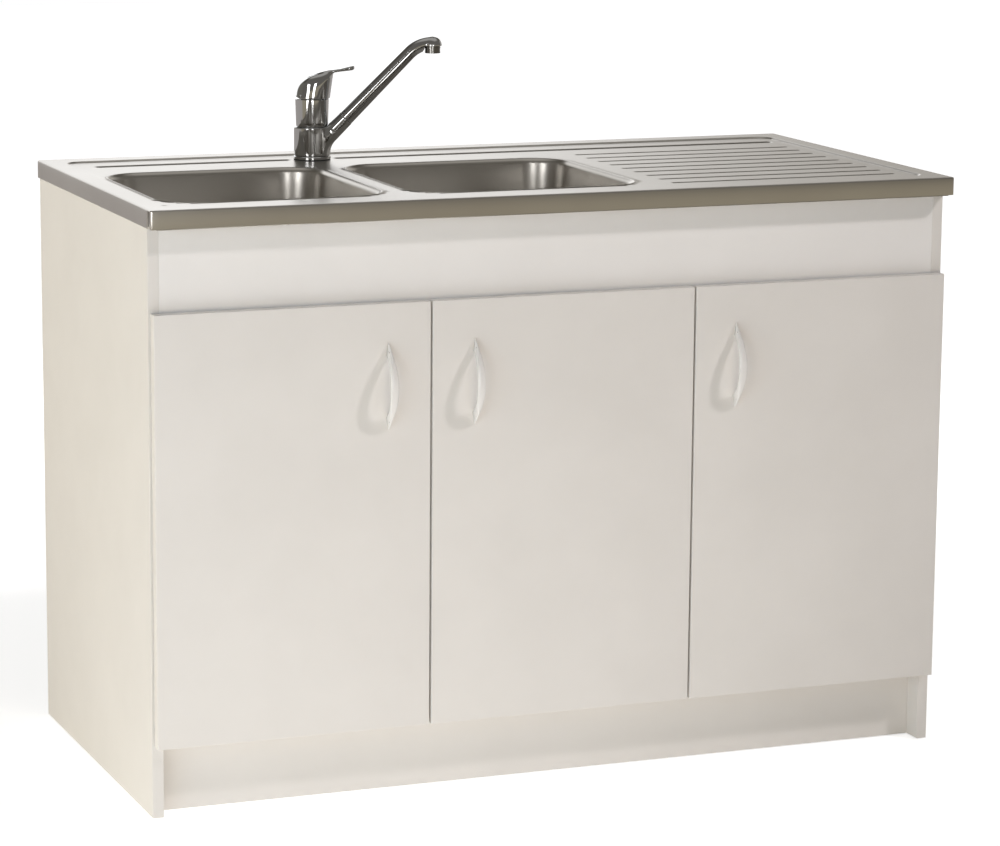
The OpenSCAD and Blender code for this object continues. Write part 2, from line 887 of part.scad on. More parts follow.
module door(i) {
    color(white)
        difference() {
            intersection() {
                board(
                    [door_x(i), door_front, door_low],
                    [door_w, door_t, door_high - door_low], door_edge_r
                );
                translate([door_x(i), 0, 0]) rotate([90, 0, 90]) linear_extrude(door_w)
                    round_rect(door_front, door_back, door_low, door_high, door_edge_r);
            }
            cup_cuts(i);
            at_handle_screws(i) rod_y(door_front - 1, door_back + 1, handle_bore_r);
        }
}

// The bow, seen from the side: the space between two arcs whose ends lie on the door
module bow_profile() {
    half = handle_len / 2;
    outer_r = (half * half + handle_out * handle_out) / (2 * handle_out);
    inner_out = handle_out - handle_bow;
    inner_half = handle_pitch / 2 - 7;
    inner_r = (inner_half * inner_half + inner_out * inner_out) / (2 * inner_out);
    difference() {
        intersection() {
            translate([outer_r - handle_out, 0]) circle(outer_r, $fn = 180);
            translate([-handle_out - 1, -half]) square([handle_out + 1, handle_len]);
        }
        translate([inner_r - inner_out, 0]) circle(inner_r, $fn = 180);
    }
}

// The bow, seen from the front: a lens with pointed ends
module lens_profile() {
    half = handle_len / 2;
    side = handle_w / 2;
    r = (half * half + side * side) / (2 * side);
    intersection() {
        translate([r - side, 0]) circle(r, $fn = 180);
        translate([side - r, 0]) circle(r, $fn = 180);
    }
}

module handle(i) {
    color("white")
        difference() {
            translate([handle_x(i), door_front, handle_z])
                intersection() {
                    translate([-handle_w / 2, 0, 0]) rotate([90, 0, 90])
                        linear_extrude(handle_w) bow_profile();
                    rotate([90, 0, 0]) translate([0, 0, -1])
                        linear_extrude(handle_out + 2) lens_profile();
                }
            at_handle_screws(i) rod_y(door_front - handle_screw_in, door_front + 1, handle_screw_r);
        }
}

module door_screws(i) {
    color(zinc) {
        at_hinges(i)
            for (z = [-cup_screw_z, cup_screw_z])
                translate([cup_screw_u, cup_flange, z]) rotate([0, 0, 90]) screw_x(screw_len + cup_flange);
        at_handle_screws(i)
            translate([0, door_back, 0]) rotate([0, 0, 90]) screw_x(door_t + handle_screw_in);
    }
}

module hinge_cups(i) {
    color(zinc) at_hinges(i) hinge_cup();
}

module left_door() { door(0); }
module left_handle() { handle(0); }
module left_hinge_cups() { hinge_cups(0); }
module left_door_screws() { door_screws(0); }
module middle_door() { door(1); }
module middle_handle() { handle(1); }
module middle_hinge_cups() { hinge_cups(1); }
module middle_door_screws() { door_screws(1); }
module right_door() { door(2); }
module right_handle() { handle(2); }
module right_hinge_cups() { hinge_cups(2); }
module right_door_screws() { door_screws(2); }

// The skirt, from its rolled top edge down to its hem, round a corner of radius corner_r
module skirt_profile() {
    difference() {
        union() {
            translate([corner_r - sheet, -skirt_h]) square([sheet, skirt_h - bend_r]);
            translate([corner_r - bend_r, -bend_r]) intersection() {
                circle(bend_r);
                square(bend_r);
            }
            translate([corner_r - 2 * sheet, -skirt_h]) square([sheet, hem]);
        }
        translate([corner_r - bend_r, -bend_r]) circle(bend_r - sheet);
    }
}

module rim_step_profile() {
    polygon([
        [rim_corner, 0], [rim_corner, -sheet],
        [rim_corner - rim_slope, -deck_drop - sheet], [rim_corner - rim_slope, -deck_drop]
    ]);
}

// A round-ended bar along X, dipping below the deck: it shapes a pressed groove
module groove_bar(x0, x1, y, r, deep) {
    translate([0, y, r - deep]) {
        rod_x(x0, x1, r);
        translate([x0, 0, 0]) sphere(r);
        translate([x1, 0, 0]) sphere(r);
    }
}

// All the deck's grooves, grown by the sheet for their undersides; z = 0 is the deck's top
module deck_grooves(grow) {
    y = tap_y;
    end_l = -sink_w / 2 + ledge_end_left;
    end_r = sink_w / 2 - ledge_end_right;
    half = sqrt(2 * ledge_groove_r * ledge_groove_deep - ledge_groove_deep * ledge_groove_deep);
    groove_bar(end_l + half, tap_x - tap_clear, y, ledge_groove_r + grow, ledge_groove_deep + grow);
    groove_bar(tap_x + tap_clear, end_r - half, y, ledge_groove_r + grow, ledge_groove_deep + grow);
    for (k = [0 : drain_grooves - 1])
        groove_bar(
            drain_x0, drain_x1, drain_y0 + (drain_y1 - drain_y0) * k / (drain_grooves - 1),
            drain_groove_r + grow, drain_groove_deep + grow
        );
}

module deck_outline() {
    inset = rim_w + rim_slope;
    round_rect(
        -sink_w / 2 + inset, sink_w / 2 - inset, sink_front + inset, sink_back - rim_back - rim_slope,
        rim_corner - rim_slope
    );
}

module sink_deck() {
    half = sink_w / 2;
    color(steel)
        translate([0, 0, total_h]) {
            difference() {
                union() {
                    ring_sweep(-half, half, sink_front, sink_back, corner_r) skirt_profile();
                    translate([-half + 3 * corner_r, sink_front + sheet, -skirt_h])
                        cube([sink_w - 6 * corner_r, flange_w, sheet]);
                }
                // The open seam at each front corner, on the side of the skirt
                for (s = [0, 1])
                    mirror([s, 0, 0])
                        translate([-half - 1, sink_front + corner_r, -skirt_h - 1])
                            cube([3, seam_w, skirt_h - bend_r]);
            }
            translate([0, 0, -sheet]) linear_extrude(sheet)
                difference() {
                    round_rect(
                        -half + bend_r, half - bend_r, sink_front + bend_r, sink_back - bend_r,
                        corner_r - bend_r
                    );
                    round_rect(
                        -half + rim_w, half - rim_w, sink_front + rim_w, sink_back - rim_back, rim_corner
                    );
                }
            ring_sweep(-half + rim_w, half - rim_w, sink_front + rim_w, sink_back - rim_back, rim_corner)
                rim_step_profile();
            translate([0, 0, -deck_drop])
                difference() {
                    union() {
                        translate([0, 0, -sheet]) linear_extrude(sheet) deck_outline();
                        intersection() {
                            deck_grooves(sheet);
                            translate([0, 0, -20]) linear_extrude(20 - sheet / 2) deck_outline();
                        }
                    }
                    deck_grooves(0);
                    translate([0, 0, -10]) linear_extrude(20)
                        for (b = bowl_xs)
                            round_rect(b[0], b[1], bowl_y0, bowl_y1, bowl_corner);
                    translate([tap_x, tap_y, -10]) cylinder(h = 20, r = tap_hole_r);
                }
        }
}

// Wall of a bowl, from its rolled lip down to its floor; z = 0 is the deck's top
module bowl_profile() {
    polygon(concat(
        arc(bowl_corner, -lip_r, lip_r, 90, 180 - bowl_draft, 8),
        arc(fillet_x, -bowl_depth + bowl_fillet, bowl_fillet, -bowl_draft, -90, 10),
        [[0, -bowl_depth], [0, -bowl_depth - sheet]],
        arc(fillet_x, -bowl_depth + bowl_fillet, bowl_fillet + sheet, -90, -bowl_draft, 10),
        arc(bowl_corner, -lip_r, lip_r - sheet, 180 - bowl_draft, 90, 8)
    ));
}

module bowl(b) {
    floor_w = b[1] - b[0] - 2 * bowl_corner;
    floor_d = bowl_y1 - bowl_y0 - 2 * bowl_corner;
    low = -dish_deep - sheet;
    color(steel)
        translate([0, 0, deck_top])
            difference() {
                union() {
                    ring_sweep(b[0], b[1], bowl_y0, bowl_y1, bowl_corner) bowl_profile();
                    translate([b[0] + bowl_corner, bowl_y0 + bowl_corner, -bowl_depth - sheet])
                        cube([floor_w, floor_d, sheet]);
                    translate([(b[0] + b[1]) / 2, bowl_mid_y, -bowl_depth])
                        rotate_extrude() polygon([
                            [0, -sheet / 2], [dish_r, -sheet / 2], [dish_r, -sheet],
                            [dish_r - dish_deep, low], [0, low]
                        ]);
                }
                // The dish that the waste's flange lies in, and the waste's hole
                translate([(b[0] + b[1]) / 2, bowl_mid_y, -bowl_depth]) {
                    rotate_extrude() polygon([
                        [0, 1], [dish_r + 1, 1], [dish_r - dish_deep, -dish_deep], [0, -dish_deep]
                    ]);
                    translate([0, 0, low - 1]) cylinder(h = sheet + 2, r = waste_hole_r);
                }
            }
}

module left_bowl() { bowl(bowl_xs[0]); }
module right_bowl() { bowl(bowl_xs[1]); }

module at_wastes() {
    for (b = bowl_xs)
        translate([(b[0] + b[1]) / 2, bowl_mid_y, bowl_floor - dish_deep]) children();
}

module waste_flanges() {
    rim = waste_flange_r - dish_deep - 1.5;
    low = -strainer_deep - 1.5;
    color(chrome)
        at_wastes()
            difference() {
                rotate_extrude() polygon([
                    [0, low], [waste_hole_r - 3, low], [waste_hole_r - 1, -4], [waste_hole_r - 1, 0],
                    [rim, 0], [rim, 0.8], [waste_hole_r, 1.4], [waste_hole_r - 3, 0],
                    [waste_hole_r - 5, -strainer_deep], [0, -strainer_deep]
                ]);
                for (a = [0 : 60 : 359])
                    rotate([0, 0, a]) translate([strainer_hole_at, 0, low - 2])
                        cylinder(h = 6, r = strainer_hole_r);
                translate([0, 0, low - 2]) cylinder(h = 6, r = waste_screw_r + 0.3);
            }
}

module waste_seals() {
    color("dimgray")
        at_wastes()
            translate([0, 0, -sheet - waste_seal_t])
                difference() {
                    cylinder(h = waste_seal_t, r = waste_seal_r);
                    translate([0, 0, -1]) cylinder(h = waste_seal_t + 2, r = waste_hole_r + 1);
                }
}

module waste_bodies() {
    top = -sheet - waste_seal_t;
    low = top - waste_depth;
    bridge_half = waste_hole_r - 3;
    color("white")
        at_wastes()
            difference() {
                rotate_extrude() polygon([
                    [0, top], [waste_seal_r, top], [waste_seal_r, top - 4],
                    [waste_hole_r + 3, top - 6], [outlet_r, low],
                    [outlet_r, low - outlet_len], [0, low - outlet_len]
                ]);
                rotate_extrude() polygon([
                    [0, top + 1], [waste_hole_r, top + 1], [waste_hole_r, top - 5],
                    [outlet_r - waste_wall, low - 1],
                    [outlet_r - waste_wall, low - outlet_len - 1], [0, low - outlet_len - 1]
                ]);
            }
    // The bridge that the centre screw holds
    color("white")
        at_wastes()
            translate([0, 0, top - bridge_deep])
                difference() {
                    union() {
                        cylinder(h = bridge_t, r = waste_screw_head_r);
                        for (a = [0, 90])
                            rotate([0, 0, a]) translate([-bridge_half, -bridge_w / 2, 0])
                                cube([2 * bridge_half, bridge_w, bridge_t]);
                    }
                    translate([0, 0, -1]) cylinder(h = bridge_t + 2, r = waste_screw_r);
                }
}

module waste_screws() {
    low = -sheet - waste_seal_t - bridge_deep;
    color(chrome)
        at_wastes() {
            translate([0, 0, low]) cylinder(h = -strainer_deep - low, r = waste_screw_r);
            translate([0, 0, -strainer_deep])
                cylinder(h = waste_screw_head, r1 = waste_screw_head_r, r2 = waste_screw_head_r - 1.5);
        }
}

module at_clips() {
    for (s = [0, 1], y = clip_ys)
        mirror([s, 0, 0]) translate([-inner_x, y, deck_low]) children();
}

module clip_screw_cuts() {
    at_clips() translate([0, 0, clip_screw_z]) rod_x(-screw_len, eps, screw_r);
}

module sink_clips() {
    color(zinc)
        at_clips()
            difference() {
                union() {
                    translate([0, -clip_w / 2, -clip_h]) cube([clip_t, clip_w, clip_h]);
                    translate([0, -clip_w / 2, -clip_t]) cube([clip_out + clip_t, clip_w, clip_t]);
                }
                translate([0, 0, clip_screw_z]) rod_x(-1, clip_t + 1, screw_r);
            }
}

module clip_screws() {
    color(zinc)
        at_clips() translate([clip_t, 0, clip_screw_z]) screw_x(screw_len + clip_t);
}

module at_tap() {
    translate([tap_x, tap_y, deck_top]) rotate([0, 0, -tap_turn]) children();
}

module tap_body() {
    color(chrome)
        at_tap()
            difference() {
                union() {
                    translate([0, 0, -shank_len]) cylinder(h = shank_len + tap_seal_t, r = shank_r);
                    rotate_extrude() polygon([
                        [0, tap_seal_t], [foot_r, tap_seal_t], [foot_r, tap_foot - 1.5],
                        [foot_r - 1.5, tap_foot], [0, tap_foot]
                    ]);
                    cylinder(h = neck_z, r = core_r);
                    rotate_extrude() polygon([
                        [0, neck_z], [tap_r - 1.8, neck_z], [tap_r - 1.2, neck_z + 1], [tap_r, head_z - 1],
                        [tap_r - 1, head_z], [0, head_z]
                    ]);
                }
                translate([0, 0, head_z - stem_depth]) cylinder(h = stem_depth + 1, r = stem_r + run_gap);
                translate([0, 0, -shank_len - 1]) cylinder(h = shank_len + 1 - tail_top, r = shank_r - 3);
            }
}

module tap_seal() {
    color("dimgray")
        at_tap()
            difference() {
                cylinder(h = tap_seal_t, r = foot_r - 0.4);
                translate([0, 0, -1]) cylinder(h = tap_seal_t + 2, r = shank_r);
            }
}

module tap_fixing_nut() {
    color("goldenrod")
        at_tap()
            translate([0, 0, -sheet - nut_h - nut_washer_t])
                difference() {
                    union() {
                        cylinder(h = nut_h, r = nut_r, $fn = 6);
                        translate([0, 0, nut_h]) cylinder(h = nut_washer_t, r = nut_washer_r);
                    }
                    translate([0, 0, -1]) cylinder(h = nut_h + nut_washer_t + 2, r = shank_r);
                }
}

module tap_tails() {
    color("peru")
        at_tap()
            for (s = [-1, 1])
                translate([s * tail_x, 0, -tail_top - tail_len]) cylinder(h = tail_len, r = tail_r);
}

module spout_limb(p, q, r1, r2) {
    dx = q[0] - p[0];
    dz = q[1] - p[1];
    translate([p[0], 0, p[1]]) rotate([0, 90 - atan2(dz, dx), 0])
        cylinder(h = norm([dx, dz]), r1 = r1, r2 = r2);
}

module spout_collar() {
    height = collar_h - 2 * collar_fit;
    color(chrome)
        at_tap()
            difference() {
                union() {
                    translate([0, 0, tap_foot + collar_fit])
                        rotate_extrude() polygon([
                            [0, 0], [collar_r - 1.2, 0], [collar_r, 2], [collar_r - 0.4, height - 1],
                            [collar_r - 1.2, height], [0, height]
                        ]);
                    spout_limb(spout_foot, spout_joint, root_r, joint_r);
                }
                translate([0, 0, -1]) cylinder(h = neck_z + 2, r = core_r + run_gap);
                // Clear of the foot below and of the upper body above
                translate([0, 0, -30]) cylinder(h = 30 + tap_foot + collar_fit, r = 2 * collar_r);
                translate([0, 0, neck_z - collar_fit]) cylinder(h = tap_head_h, r = tap_r + 0.5);
                spout_limb(tenon_low, tenon_top, tenon_r, tenon_r);
            }
}

module spout_tube() {
    color(chrome)
        at_tap()
            difference() {
                union() {
                    spout_limb(tenon_low + 0.5 * spout_dir, tenon_top, tenon_r, tenon_r);
                    spout_limb(spout_joint, spout_bend, tube_r, spout_end_r);
                    // The arc starts a little inside the straight part, so that the two are one piece
                    translate([spout_reach, 0, spout_rise - spout_bend_r])
                        rotate([90, 0, 0]) rotate([0, 0, 90]) rotate_extrude(angle = slope + 1)
                            translate([spout_bend_r, 0]) circle(spout_end_r - 0.1);
                    translate([spout_reach + ball_shift, 0, aerator_top + 2]) sphere(ball_r);
                    translate([spout_reach, 0, aerator_top]) cylinder(h = 2, r = ball_r);
                }
                translate([spout_reach, 0, aerator_top - 2 * ball_r])
                    cylinder(h = 2 * ball_r, r = ball_r + 0.4);
            }
}

module aerator() {
    color(chrome)
        at_tap()
            translate([spout_reach, 0, aerator_top - aerator_h])
                difference() {
                    union() {
                        cylinder(h = aerator_h, r = aerator_r - 0.5);
                        translate([0, 0, 0.8]) cylinder(h = 1, r = aerator_r);
                        translate([0, 0, aerator_h - 3]) cylinder(h = 1.4, r = aerator_r);
                    }
                    for (a = [0 : 45 : 359])
                        rotate([0, 0, a]) translate([6.5, 0, -1]) cylinder(h = 3, r = 1);
                    for (a = [0 : 90 : 359])
                        rotate([0, 0, a]) translate([2.8, 0, -1]) cylinder(h = 3, r = 1);
                }
}

module at_lever_pin() {
    translate([lever_pivot_x, 0, lever_pivot_z]) children();
}

module lever_stem() {
    color(zinc)
        at_tap()
            difference() {
                union() {
                    translate([0, 0, head_z - stem_depth + 0.2]) cylinder(h = stem_depth - 0.2, r = stem_r);
                    intersection() {
                        translate([lever_pivot_x - lug_r, -lug_half, head_z - 1])
                            cube([2 * lug_r, 2 * lug_half, lever_pivot_z - head_z + 1]);
                        cylinder(h = lever_pivot_z, r = stem_r);
                    }
                    at_lever_pin() rod_y(-lug_half, lug_half, lug_r);
                }
                at_lever_pin() rod_y(-lug_half - 1, lug_half + 1, lever_pin_r + run_gap);
            }
}

module lever_pin() {
    color(zinc)
        at_tap() at_lever_pin() rod_y(-lever_pin_half, lever_pin_half, lever_pin_r);
}

// The hood, seen from the side: it leans up from its back edge to the root of the blade
module hood_side(drop) {
    front = hood_r + 8;
    polygon(concat(
        [[front, lever_fit], [-hood_r - 1 + drop, lever_fit], [-hood_r - 1 + drop, hood_line[0][1] - drop]],
        [for (p = hood_line) p + [drop / 2, -drop]]
    ));
}

// The blade, seen from the side: thin at the hood and thicker at its round tip
module blade_side() {
    polygon([
        [4, 30], [4, 35.5], [11.8, 38.3], [20.7, 41], [25.2, 42.2], [34, 43.4], [43, 44.8],
        [lever_len - 11, 47.2], [lever_len - 5.5, 48.6], [lever_len - 2, 48.7], [lever_len - 0.4, 47.6],
        [lever_len, 45.8], [lever_len - 0.6, 44.2], [lever_len - 2, 43.1], [lever_len - 7, 42],
        [43, 40.4], [34, 38.9], [26, 36]
    ]);
}

module blade_plan() {
    polygon([
        [0, -13], [30, -9.5], [lever_len - blade_tip_r, -blade_tip_r + 0.4],
        [lever_len - blade_tip_r, blade_tip_r - 0.4], [30, 9.5], [0, 13]
    ]);
    translate([lever_len - blade_tip_r, 0]) circle(blade_tip_r);
}

module lever() {
    tilt_run = tan(lever_lift_max + 1);
    depth = 2 * hood_r + 2;
    color(chrome)
        at_tap()
            difference() {
                translate([0, 0, head_z]) {
                    intersection() {
                        translate([0, depth / 2, 0]) rotate([90, 0, 0]) linear_extrude(depth) hood_side(0);
                        rotate([0, hood_lean, 0]) translate([0, 0, -10]) cylinder(h = 80, r = hood_r);
                        translate([0, 0, arch_z]) rod_x(-40, 60, arch_r);
                    }
                    intersection() {
                        translate([0, depth / 2, 0]) rotate([90, 0, 0]) linear_extrude(depth) blade_side();
                        linear_extrude(60) blade_plan();
                    }
                }
                // The hollow that the stem's lug stands in
                translate([0, 0, head_z])
                    intersection() {
                        translate([0, depth / 2, -1]) rotate([90, 0, 0])
                            linear_extrude(depth) hood_side(hood_roof);
                        translate([0, 0, -1]) cylinder(h = 60, r = hood_r - lever_wall);
                        translate([0, 0, arch_z - 1]) rod_x(-40, 40, arch_r - hood_roof);
                    }
                // Room behind the pin for the hood's back edge when the lever is lifted
                translate([lever_pivot_x, depth / 2, head_z - 0.2])
                    rotate([90, 0, 0]) linear_extrude(depth)
                        polygon([[0, 0], [-20, 20 * tilt_run], [-20, -5], [0, -5]]);
                at_lever_pin() rod_y(-lever_pin_half, lever_pin_half, lever_pin_r);
            }
}

left_side_panel();
right_side_panel();
partition();
bottom_panel();
plinth();
rear_plinth();
fascia();
rear_top_rail();
back_panel();
shelf();
shelf_pins();
glides();
cam_bolts();
cam_locks();
dowels();
partition_screws();
door_bumpers();
hinge_arms();
cranked_hinge_arms();
hinge_plates();
hinge_plate_screws();
hinge_pins();
left_door();
left_handle();
left_hinge_cups();
left_door_screws();
middle_door();
middle_handle();
middle_hinge_cups();
middle_door_screws();
right_door();
right_handle();
right_hinge_cups();
right_door_screws();
sink_deck();
left_bowl();
right_bowl();
sink_clips();
clip_screws();
waste_flanges();
waste_seals();
waste_bodies();
waste_screws();
tap_body();
tap_seal();
tap_fixing_nut();
tap_tails();
spout_collar();
spout_tube();
aerator();
lever_stem();
lever_pin();
lever();
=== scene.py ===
import itertools
import json
import math

import bpy
import numpy as np
from mathutils import Matrix, Vector, geometry


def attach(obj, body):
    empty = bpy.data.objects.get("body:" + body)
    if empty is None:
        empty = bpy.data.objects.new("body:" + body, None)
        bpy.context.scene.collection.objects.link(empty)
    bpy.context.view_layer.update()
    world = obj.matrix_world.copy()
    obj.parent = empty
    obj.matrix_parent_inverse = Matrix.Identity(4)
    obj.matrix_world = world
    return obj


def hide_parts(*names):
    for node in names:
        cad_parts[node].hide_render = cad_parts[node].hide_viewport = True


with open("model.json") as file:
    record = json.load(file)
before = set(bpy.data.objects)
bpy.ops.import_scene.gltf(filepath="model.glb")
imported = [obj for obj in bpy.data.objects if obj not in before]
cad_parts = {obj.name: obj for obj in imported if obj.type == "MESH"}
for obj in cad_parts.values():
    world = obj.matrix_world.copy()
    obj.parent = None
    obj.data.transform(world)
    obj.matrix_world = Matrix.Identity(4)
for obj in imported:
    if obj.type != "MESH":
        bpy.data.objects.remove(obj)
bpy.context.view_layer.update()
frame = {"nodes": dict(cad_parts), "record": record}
nodes = frame["nodes"]

# Driving sizes of the sink, the handles and the tap, in metres, as in the part's source
MM = 0.001
SINK_W = 1200 * MM
SINK_FRONT = -290 * MM
SINK_BACK = 310 * MM
TOTAL_H = 845 * MM
SHEET = 0.8 * MM
SKIRT_H = 26 * MM
BEND_R = 2 * MM
CORNER_R = 3 * MM
HEM = 6 * MM
FRONT_FLANGE = 12 * MM
SEAM_W = 0.8 * MM
RIM_W = 30 * MM
RIM_BACK = 38 * MM
RIM_SLOPE = 3 * MM
RIM_CORNER = 24 * MM
DECK_DROP = 2 * MM
DECK_Z = TOTAL_H - DECK_DROP
BOWL_Y = (-218 * MM, 132 * MM)
BOWLS = {"left": (-560 * MM, -229 * MM), "right": (-202 * MM, 152 * MM)}
BOWL_DEPTH = 150 * MM
BOWL_CORNER = 60 * MM
LIP_R = 8 * MM
BOWL_FILLET = 40 * MM
BOWL_DRAFT = math.radians(5)
DISH_R = 43 * MM
DISH_DEEP = 3 * MM
DISH_EDGE = ((1 * MM, 0.4 * MM), (3 * MM, 2.5 * MM), (4.5 * MM, DISH_DEEP))
WASTE_R = 30 * MM
TAP = Vector((-205.5 * MM, 215 * MM, DECK_Z))
TAP_TURN = math.radians(-25)
TAP_HOLE_R = 17.5 * MM
LEDGE_GROOVE = {"y": 215 * MM, "half": 11 * MM, "deep": 2.6 * MM}
LEDGE_ENDS = ((-530.6 * MM, -247.5 * MM), (-163.5 * MM, 542.6 * MM))
DRAIN_X = (194 * MM, 541 * MM)
DRAIN_Y = (-210 * MM, 146 * MM)
DRAIN_GROOVES = 9
DRAIN_GROOVE = {"half": 5.5 * MM, "deep": 1.8 * MM}
HANDLE_LEN = 122 * MM
HANDLE_OUT = 30 * MM
HANDLE_BOW = 6.5 * MM
HANDLE_W = 12 * MM
HANDLE_HOLE = 41 * MM
HANDLES = {"left": -262 * MM, "middle": -135 * MM, "right": 262 * MM}
HANDLE_Z = 588.2 * MM
HANDLE_FULLNESS = 0.8
DOOR_FRONT = -280 * MM
BOARD_CHAMFER = 0.6 * MM

# How finely the sheet and the handles are divided. The chords round the tap's hole dip a little into its
# circle, and the free points of the deck keep a margin to every outline.
HEM_STEPS = 6
BEND_STEPS = 6
SLOPE_STEPS = 8
LIP_STEPS = 8
WALL_STEPS = 6
FILLET_STEPS = 14
FLOOR_STEPS = 6
RIM_CORNER_POINTS = 10
RIM_SIDES = (120, 60)
BOWL_CORNER_POINTS = 16
BOWL_SIDES = (26, 26)
TAP_HOLE_POINTS = 48
HOLE_CHORDS = 0.998
DECK_COLUMNS = 140
DECK_ROWS = 52
LEDGE_STEPS = 9
LEDGE_CLEAR = 1.15
DRAIN_STEPS = 6
DRAIN_END = 12 * MM
POINT_MARGIN = 1.2 * MM
HANDLE_ROWS = 64
HANDLE_AROUND = 20

# The tap, in millimetres: along its spout and lever, and above the deck
TAP_R = 25
COLLAR_R = 27
COLLAR_Z = (6.3, 48.7)
COLLAR_BORE = 14.05
HEAD_FIT = 0.5
SPOUT_FOOT = (0, 9.7)
SPOUT_JOINT = (50.7, 62.2)
ROOT_R = (13, 12)
TUBE_R = (11.6, 9.8)
SPOUT_REACH = 179
SPOUT_RISE = 174
SPOUT_BEND_R = 48
SPOUT_SLOPE = math.radians(46)
LAP = 0.5
BALL = (180.8, 172.0, 11.8)
SEAT_R = 12
SEAT_Z = 170.5
SEAT_TOP = 173
SEAT_CUT = 2
HEAD_Z = 90.5
HOOD_R = 26.2
HOOD_LEAN = math.radians(8)
HOOD_LINE = (
    (-26.2, 9), (-24.4, 15), (-22.4, 18.7), (-19.5, 22), (-15, 25.6), (-10.6, 28.4), (-6, 30.9),
    (-1.6, 33.1), (3, 35.2), (7.4, 36.9), (11.8, 38.4), (16.2, 39.8), (20.7, 41.1), (25.2, 42.2), (36, 43.6),
)
HOOD_EYE = (4, 4)
HOOD_ARCH = (9, 33.6)
HOOD_WALL = 4
LEVER_FIT = 0.5
LEVER_PIVOT = (-13, 5)
LEVER_PIN = (2.05, 21)
LEVER_REAR_CUT = math.tan(math.radians(21))
LEVER_REAR_GAP = 0.2
BLADE_LINE = (
    (-6, 29.6, 2.4), (4, 32.9, 2.7), (12, 35.3, 2.9), (26, 39.3, 2.9), (34, 41.2, 2.25), (43, 42.6, 2.2),
    (52, 44.3, 2.8), (58, 45.4, 3.2), (64, 46.2, 3.2),
)
BLADE_WIDE = ((-6, 13), (30, 9.5), (55, 8))
BLADE_START = -4
BLADE_TIP = (55.4, 8)

# A field's slope is measured over this step either way, and its points are pulled onto it this often
FIELD_STEP = 0.05
PULLS = 8

# The camera that matches the photograph's view
CAMERA_AT = Vector((-1.9057, -4.8555, 1.4755))
CAMERA_YAW = math.radians(21.568)
CAMERA_PITCH = math.radians(10.917)
CAMERA_ROLL = math.radians(0.479)
FOCAL_PX = 3605.7
PHOTO_W = 1000
SENSOR = 36
CAMERA_REACH = 60

# Nodes whose look isn't that of their slot, and how the nodes' edges are finished. The fascia gets a lighter
# copy of the melamine: painted light that makes up for the shade under the sink's overhang.
# The aerator's chrome is painted dark: painted shade for the dim surroundings that it reflects
OWN_MATERIAL = {"aerator": "aerator_painted_shade", "fascia": "melamine_lightened"}
WELD_GAP = 0.01 * MM
SMOOTH_BELOW = math.radians(32)
CHAMFER_ABOVE = math.radians(60)


def make_camera():
    forward = Vector((
        math.sin(CAMERA_YAW) * math.cos(CAMERA_PITCH),
        math.cos(CAMERA_YAW) * math.cos(CAMERA_PITCH),
        -math.sin(CAMERA_PITCH),
    ))
    level = Vector((math.cos(CAMERA_YAW), -math.sin(CAMERA_YAW), 0))
    above = level.cross(forward)
    right = math.cos(CAMERA_ROLL) * level + math.sin(CAMERA_ROLL) * above
    up = math.cos(CAMERA_ROLL) * above - math.sin(CAMERA_ROLL) * level
    data = bpy.data.cameras.new("photo_camera")
    data.sensor_width = SENSOR
    data.lens = FOCAL_PX / PHOTO_W * SENSOR
    data.clip_end = CAMERA_REACH
    camera = bpy.data.objects.new("photo_camera", data)
    turn = Matrix((right, up, -forward)).transposed().to_4x4()
    camera.matrix_world = Matrix.Translation(CAMERA_AT) @ turn
    bpy.context.scene.collection.objects.link(camera)
    bpy.context.scene.camera = camera


# Materials

def new_material(name, **shader):
    """A material whose shader sockets are set by name, with underscores for spaces."""
    material = bpy.data.materials.new(name)
    material.use_nodes = True
    tree = material.node_tree
    principled = tree.nodes["Principled BSDF"]
    for key, value in shader.items():
        principled.inputs[key.replace("_", " ")].default_value = value
    return material, tree, principled


def noise_node(tree, scale, detail=2.0, stretch=(1, 1, 1), roughness=0.5):
    """A noise texture in object space, finer along an axis whose stretch is larger."""
    place = tree.nodes.new("ShaderNodeTexCoord")
    mapping = tree.nodes.new("ShaderNodeMapping")
    mapping.inputs["Scale"].default_value = stretch
    texture = tree.nodes.new("ShaderNodeTexNoise")
    texture.inputs["Scale"].default_value = scale
    texture.inputs["Detail"].default_value = detail
    texture.inputs["Roughness"].default_value = roughness
    tree.links.new(place.outputs["Object"], mapping.inputs["Vector"])
    tree.links.new(mapping.outputs["Vector"], texture.inputs["Vector"])
    return texture.outputs["Fac"]


def ramp(tree, value, stops):
    """Colours or grey levels at places along a value from 0 to 1."""
    node = tree.nodes.new("ShaderNodeValToRGB")
    elements = node.color_ramp.elements
    while len(elements) < len(stops):
        elements.new(0.5)
    for element, (place, colour) in zip(elements, stops):
        element.position = place
        element.color = (*colour, 1)
    tree.links.new(value, node.inputs["Fac"])
    return node.outputs["Color"]


def grey(level):
    return (level, level, level)


def add_bump(tree, principled, height, strength, distance):
    bump = tree.nodes.new("ShaderNodeBump")
    bump.inputs["Strength"].default_value = strength
    bump.inputs["Distance"].default_value = distance
    tree.links.new(height, bump.inputs["Height"])
    tree.links.new(bump.outputs["Normal"], principled.inputs["Normal"])


def melamine_material(name, dark, light):
    """Satin white melamine: faint mottle and a fine pressed texture."""
    material, tree, principled = new_material(name)
    mottle = noise_node(tree, scale=9, detail=4)
    colour = ramp(tree, mottle, [(0.3, dark), (0.7, light)])
    tree.links.new(colour, principled.inputs["Base Color"])
    gloss = ramp(tree, noise_node(tree, scale=40, detail=3), [(0.3, grey(0.40)), (0.7, grey(0.47))])
    tree.links.new(gloss, principled.inputs["Roughness"])
    grain = noise_node(tree, scale=1400, detail=1)
    add_bump(tree, principled, grain, strength=0.06, distance=0.4 * MM)
    return material


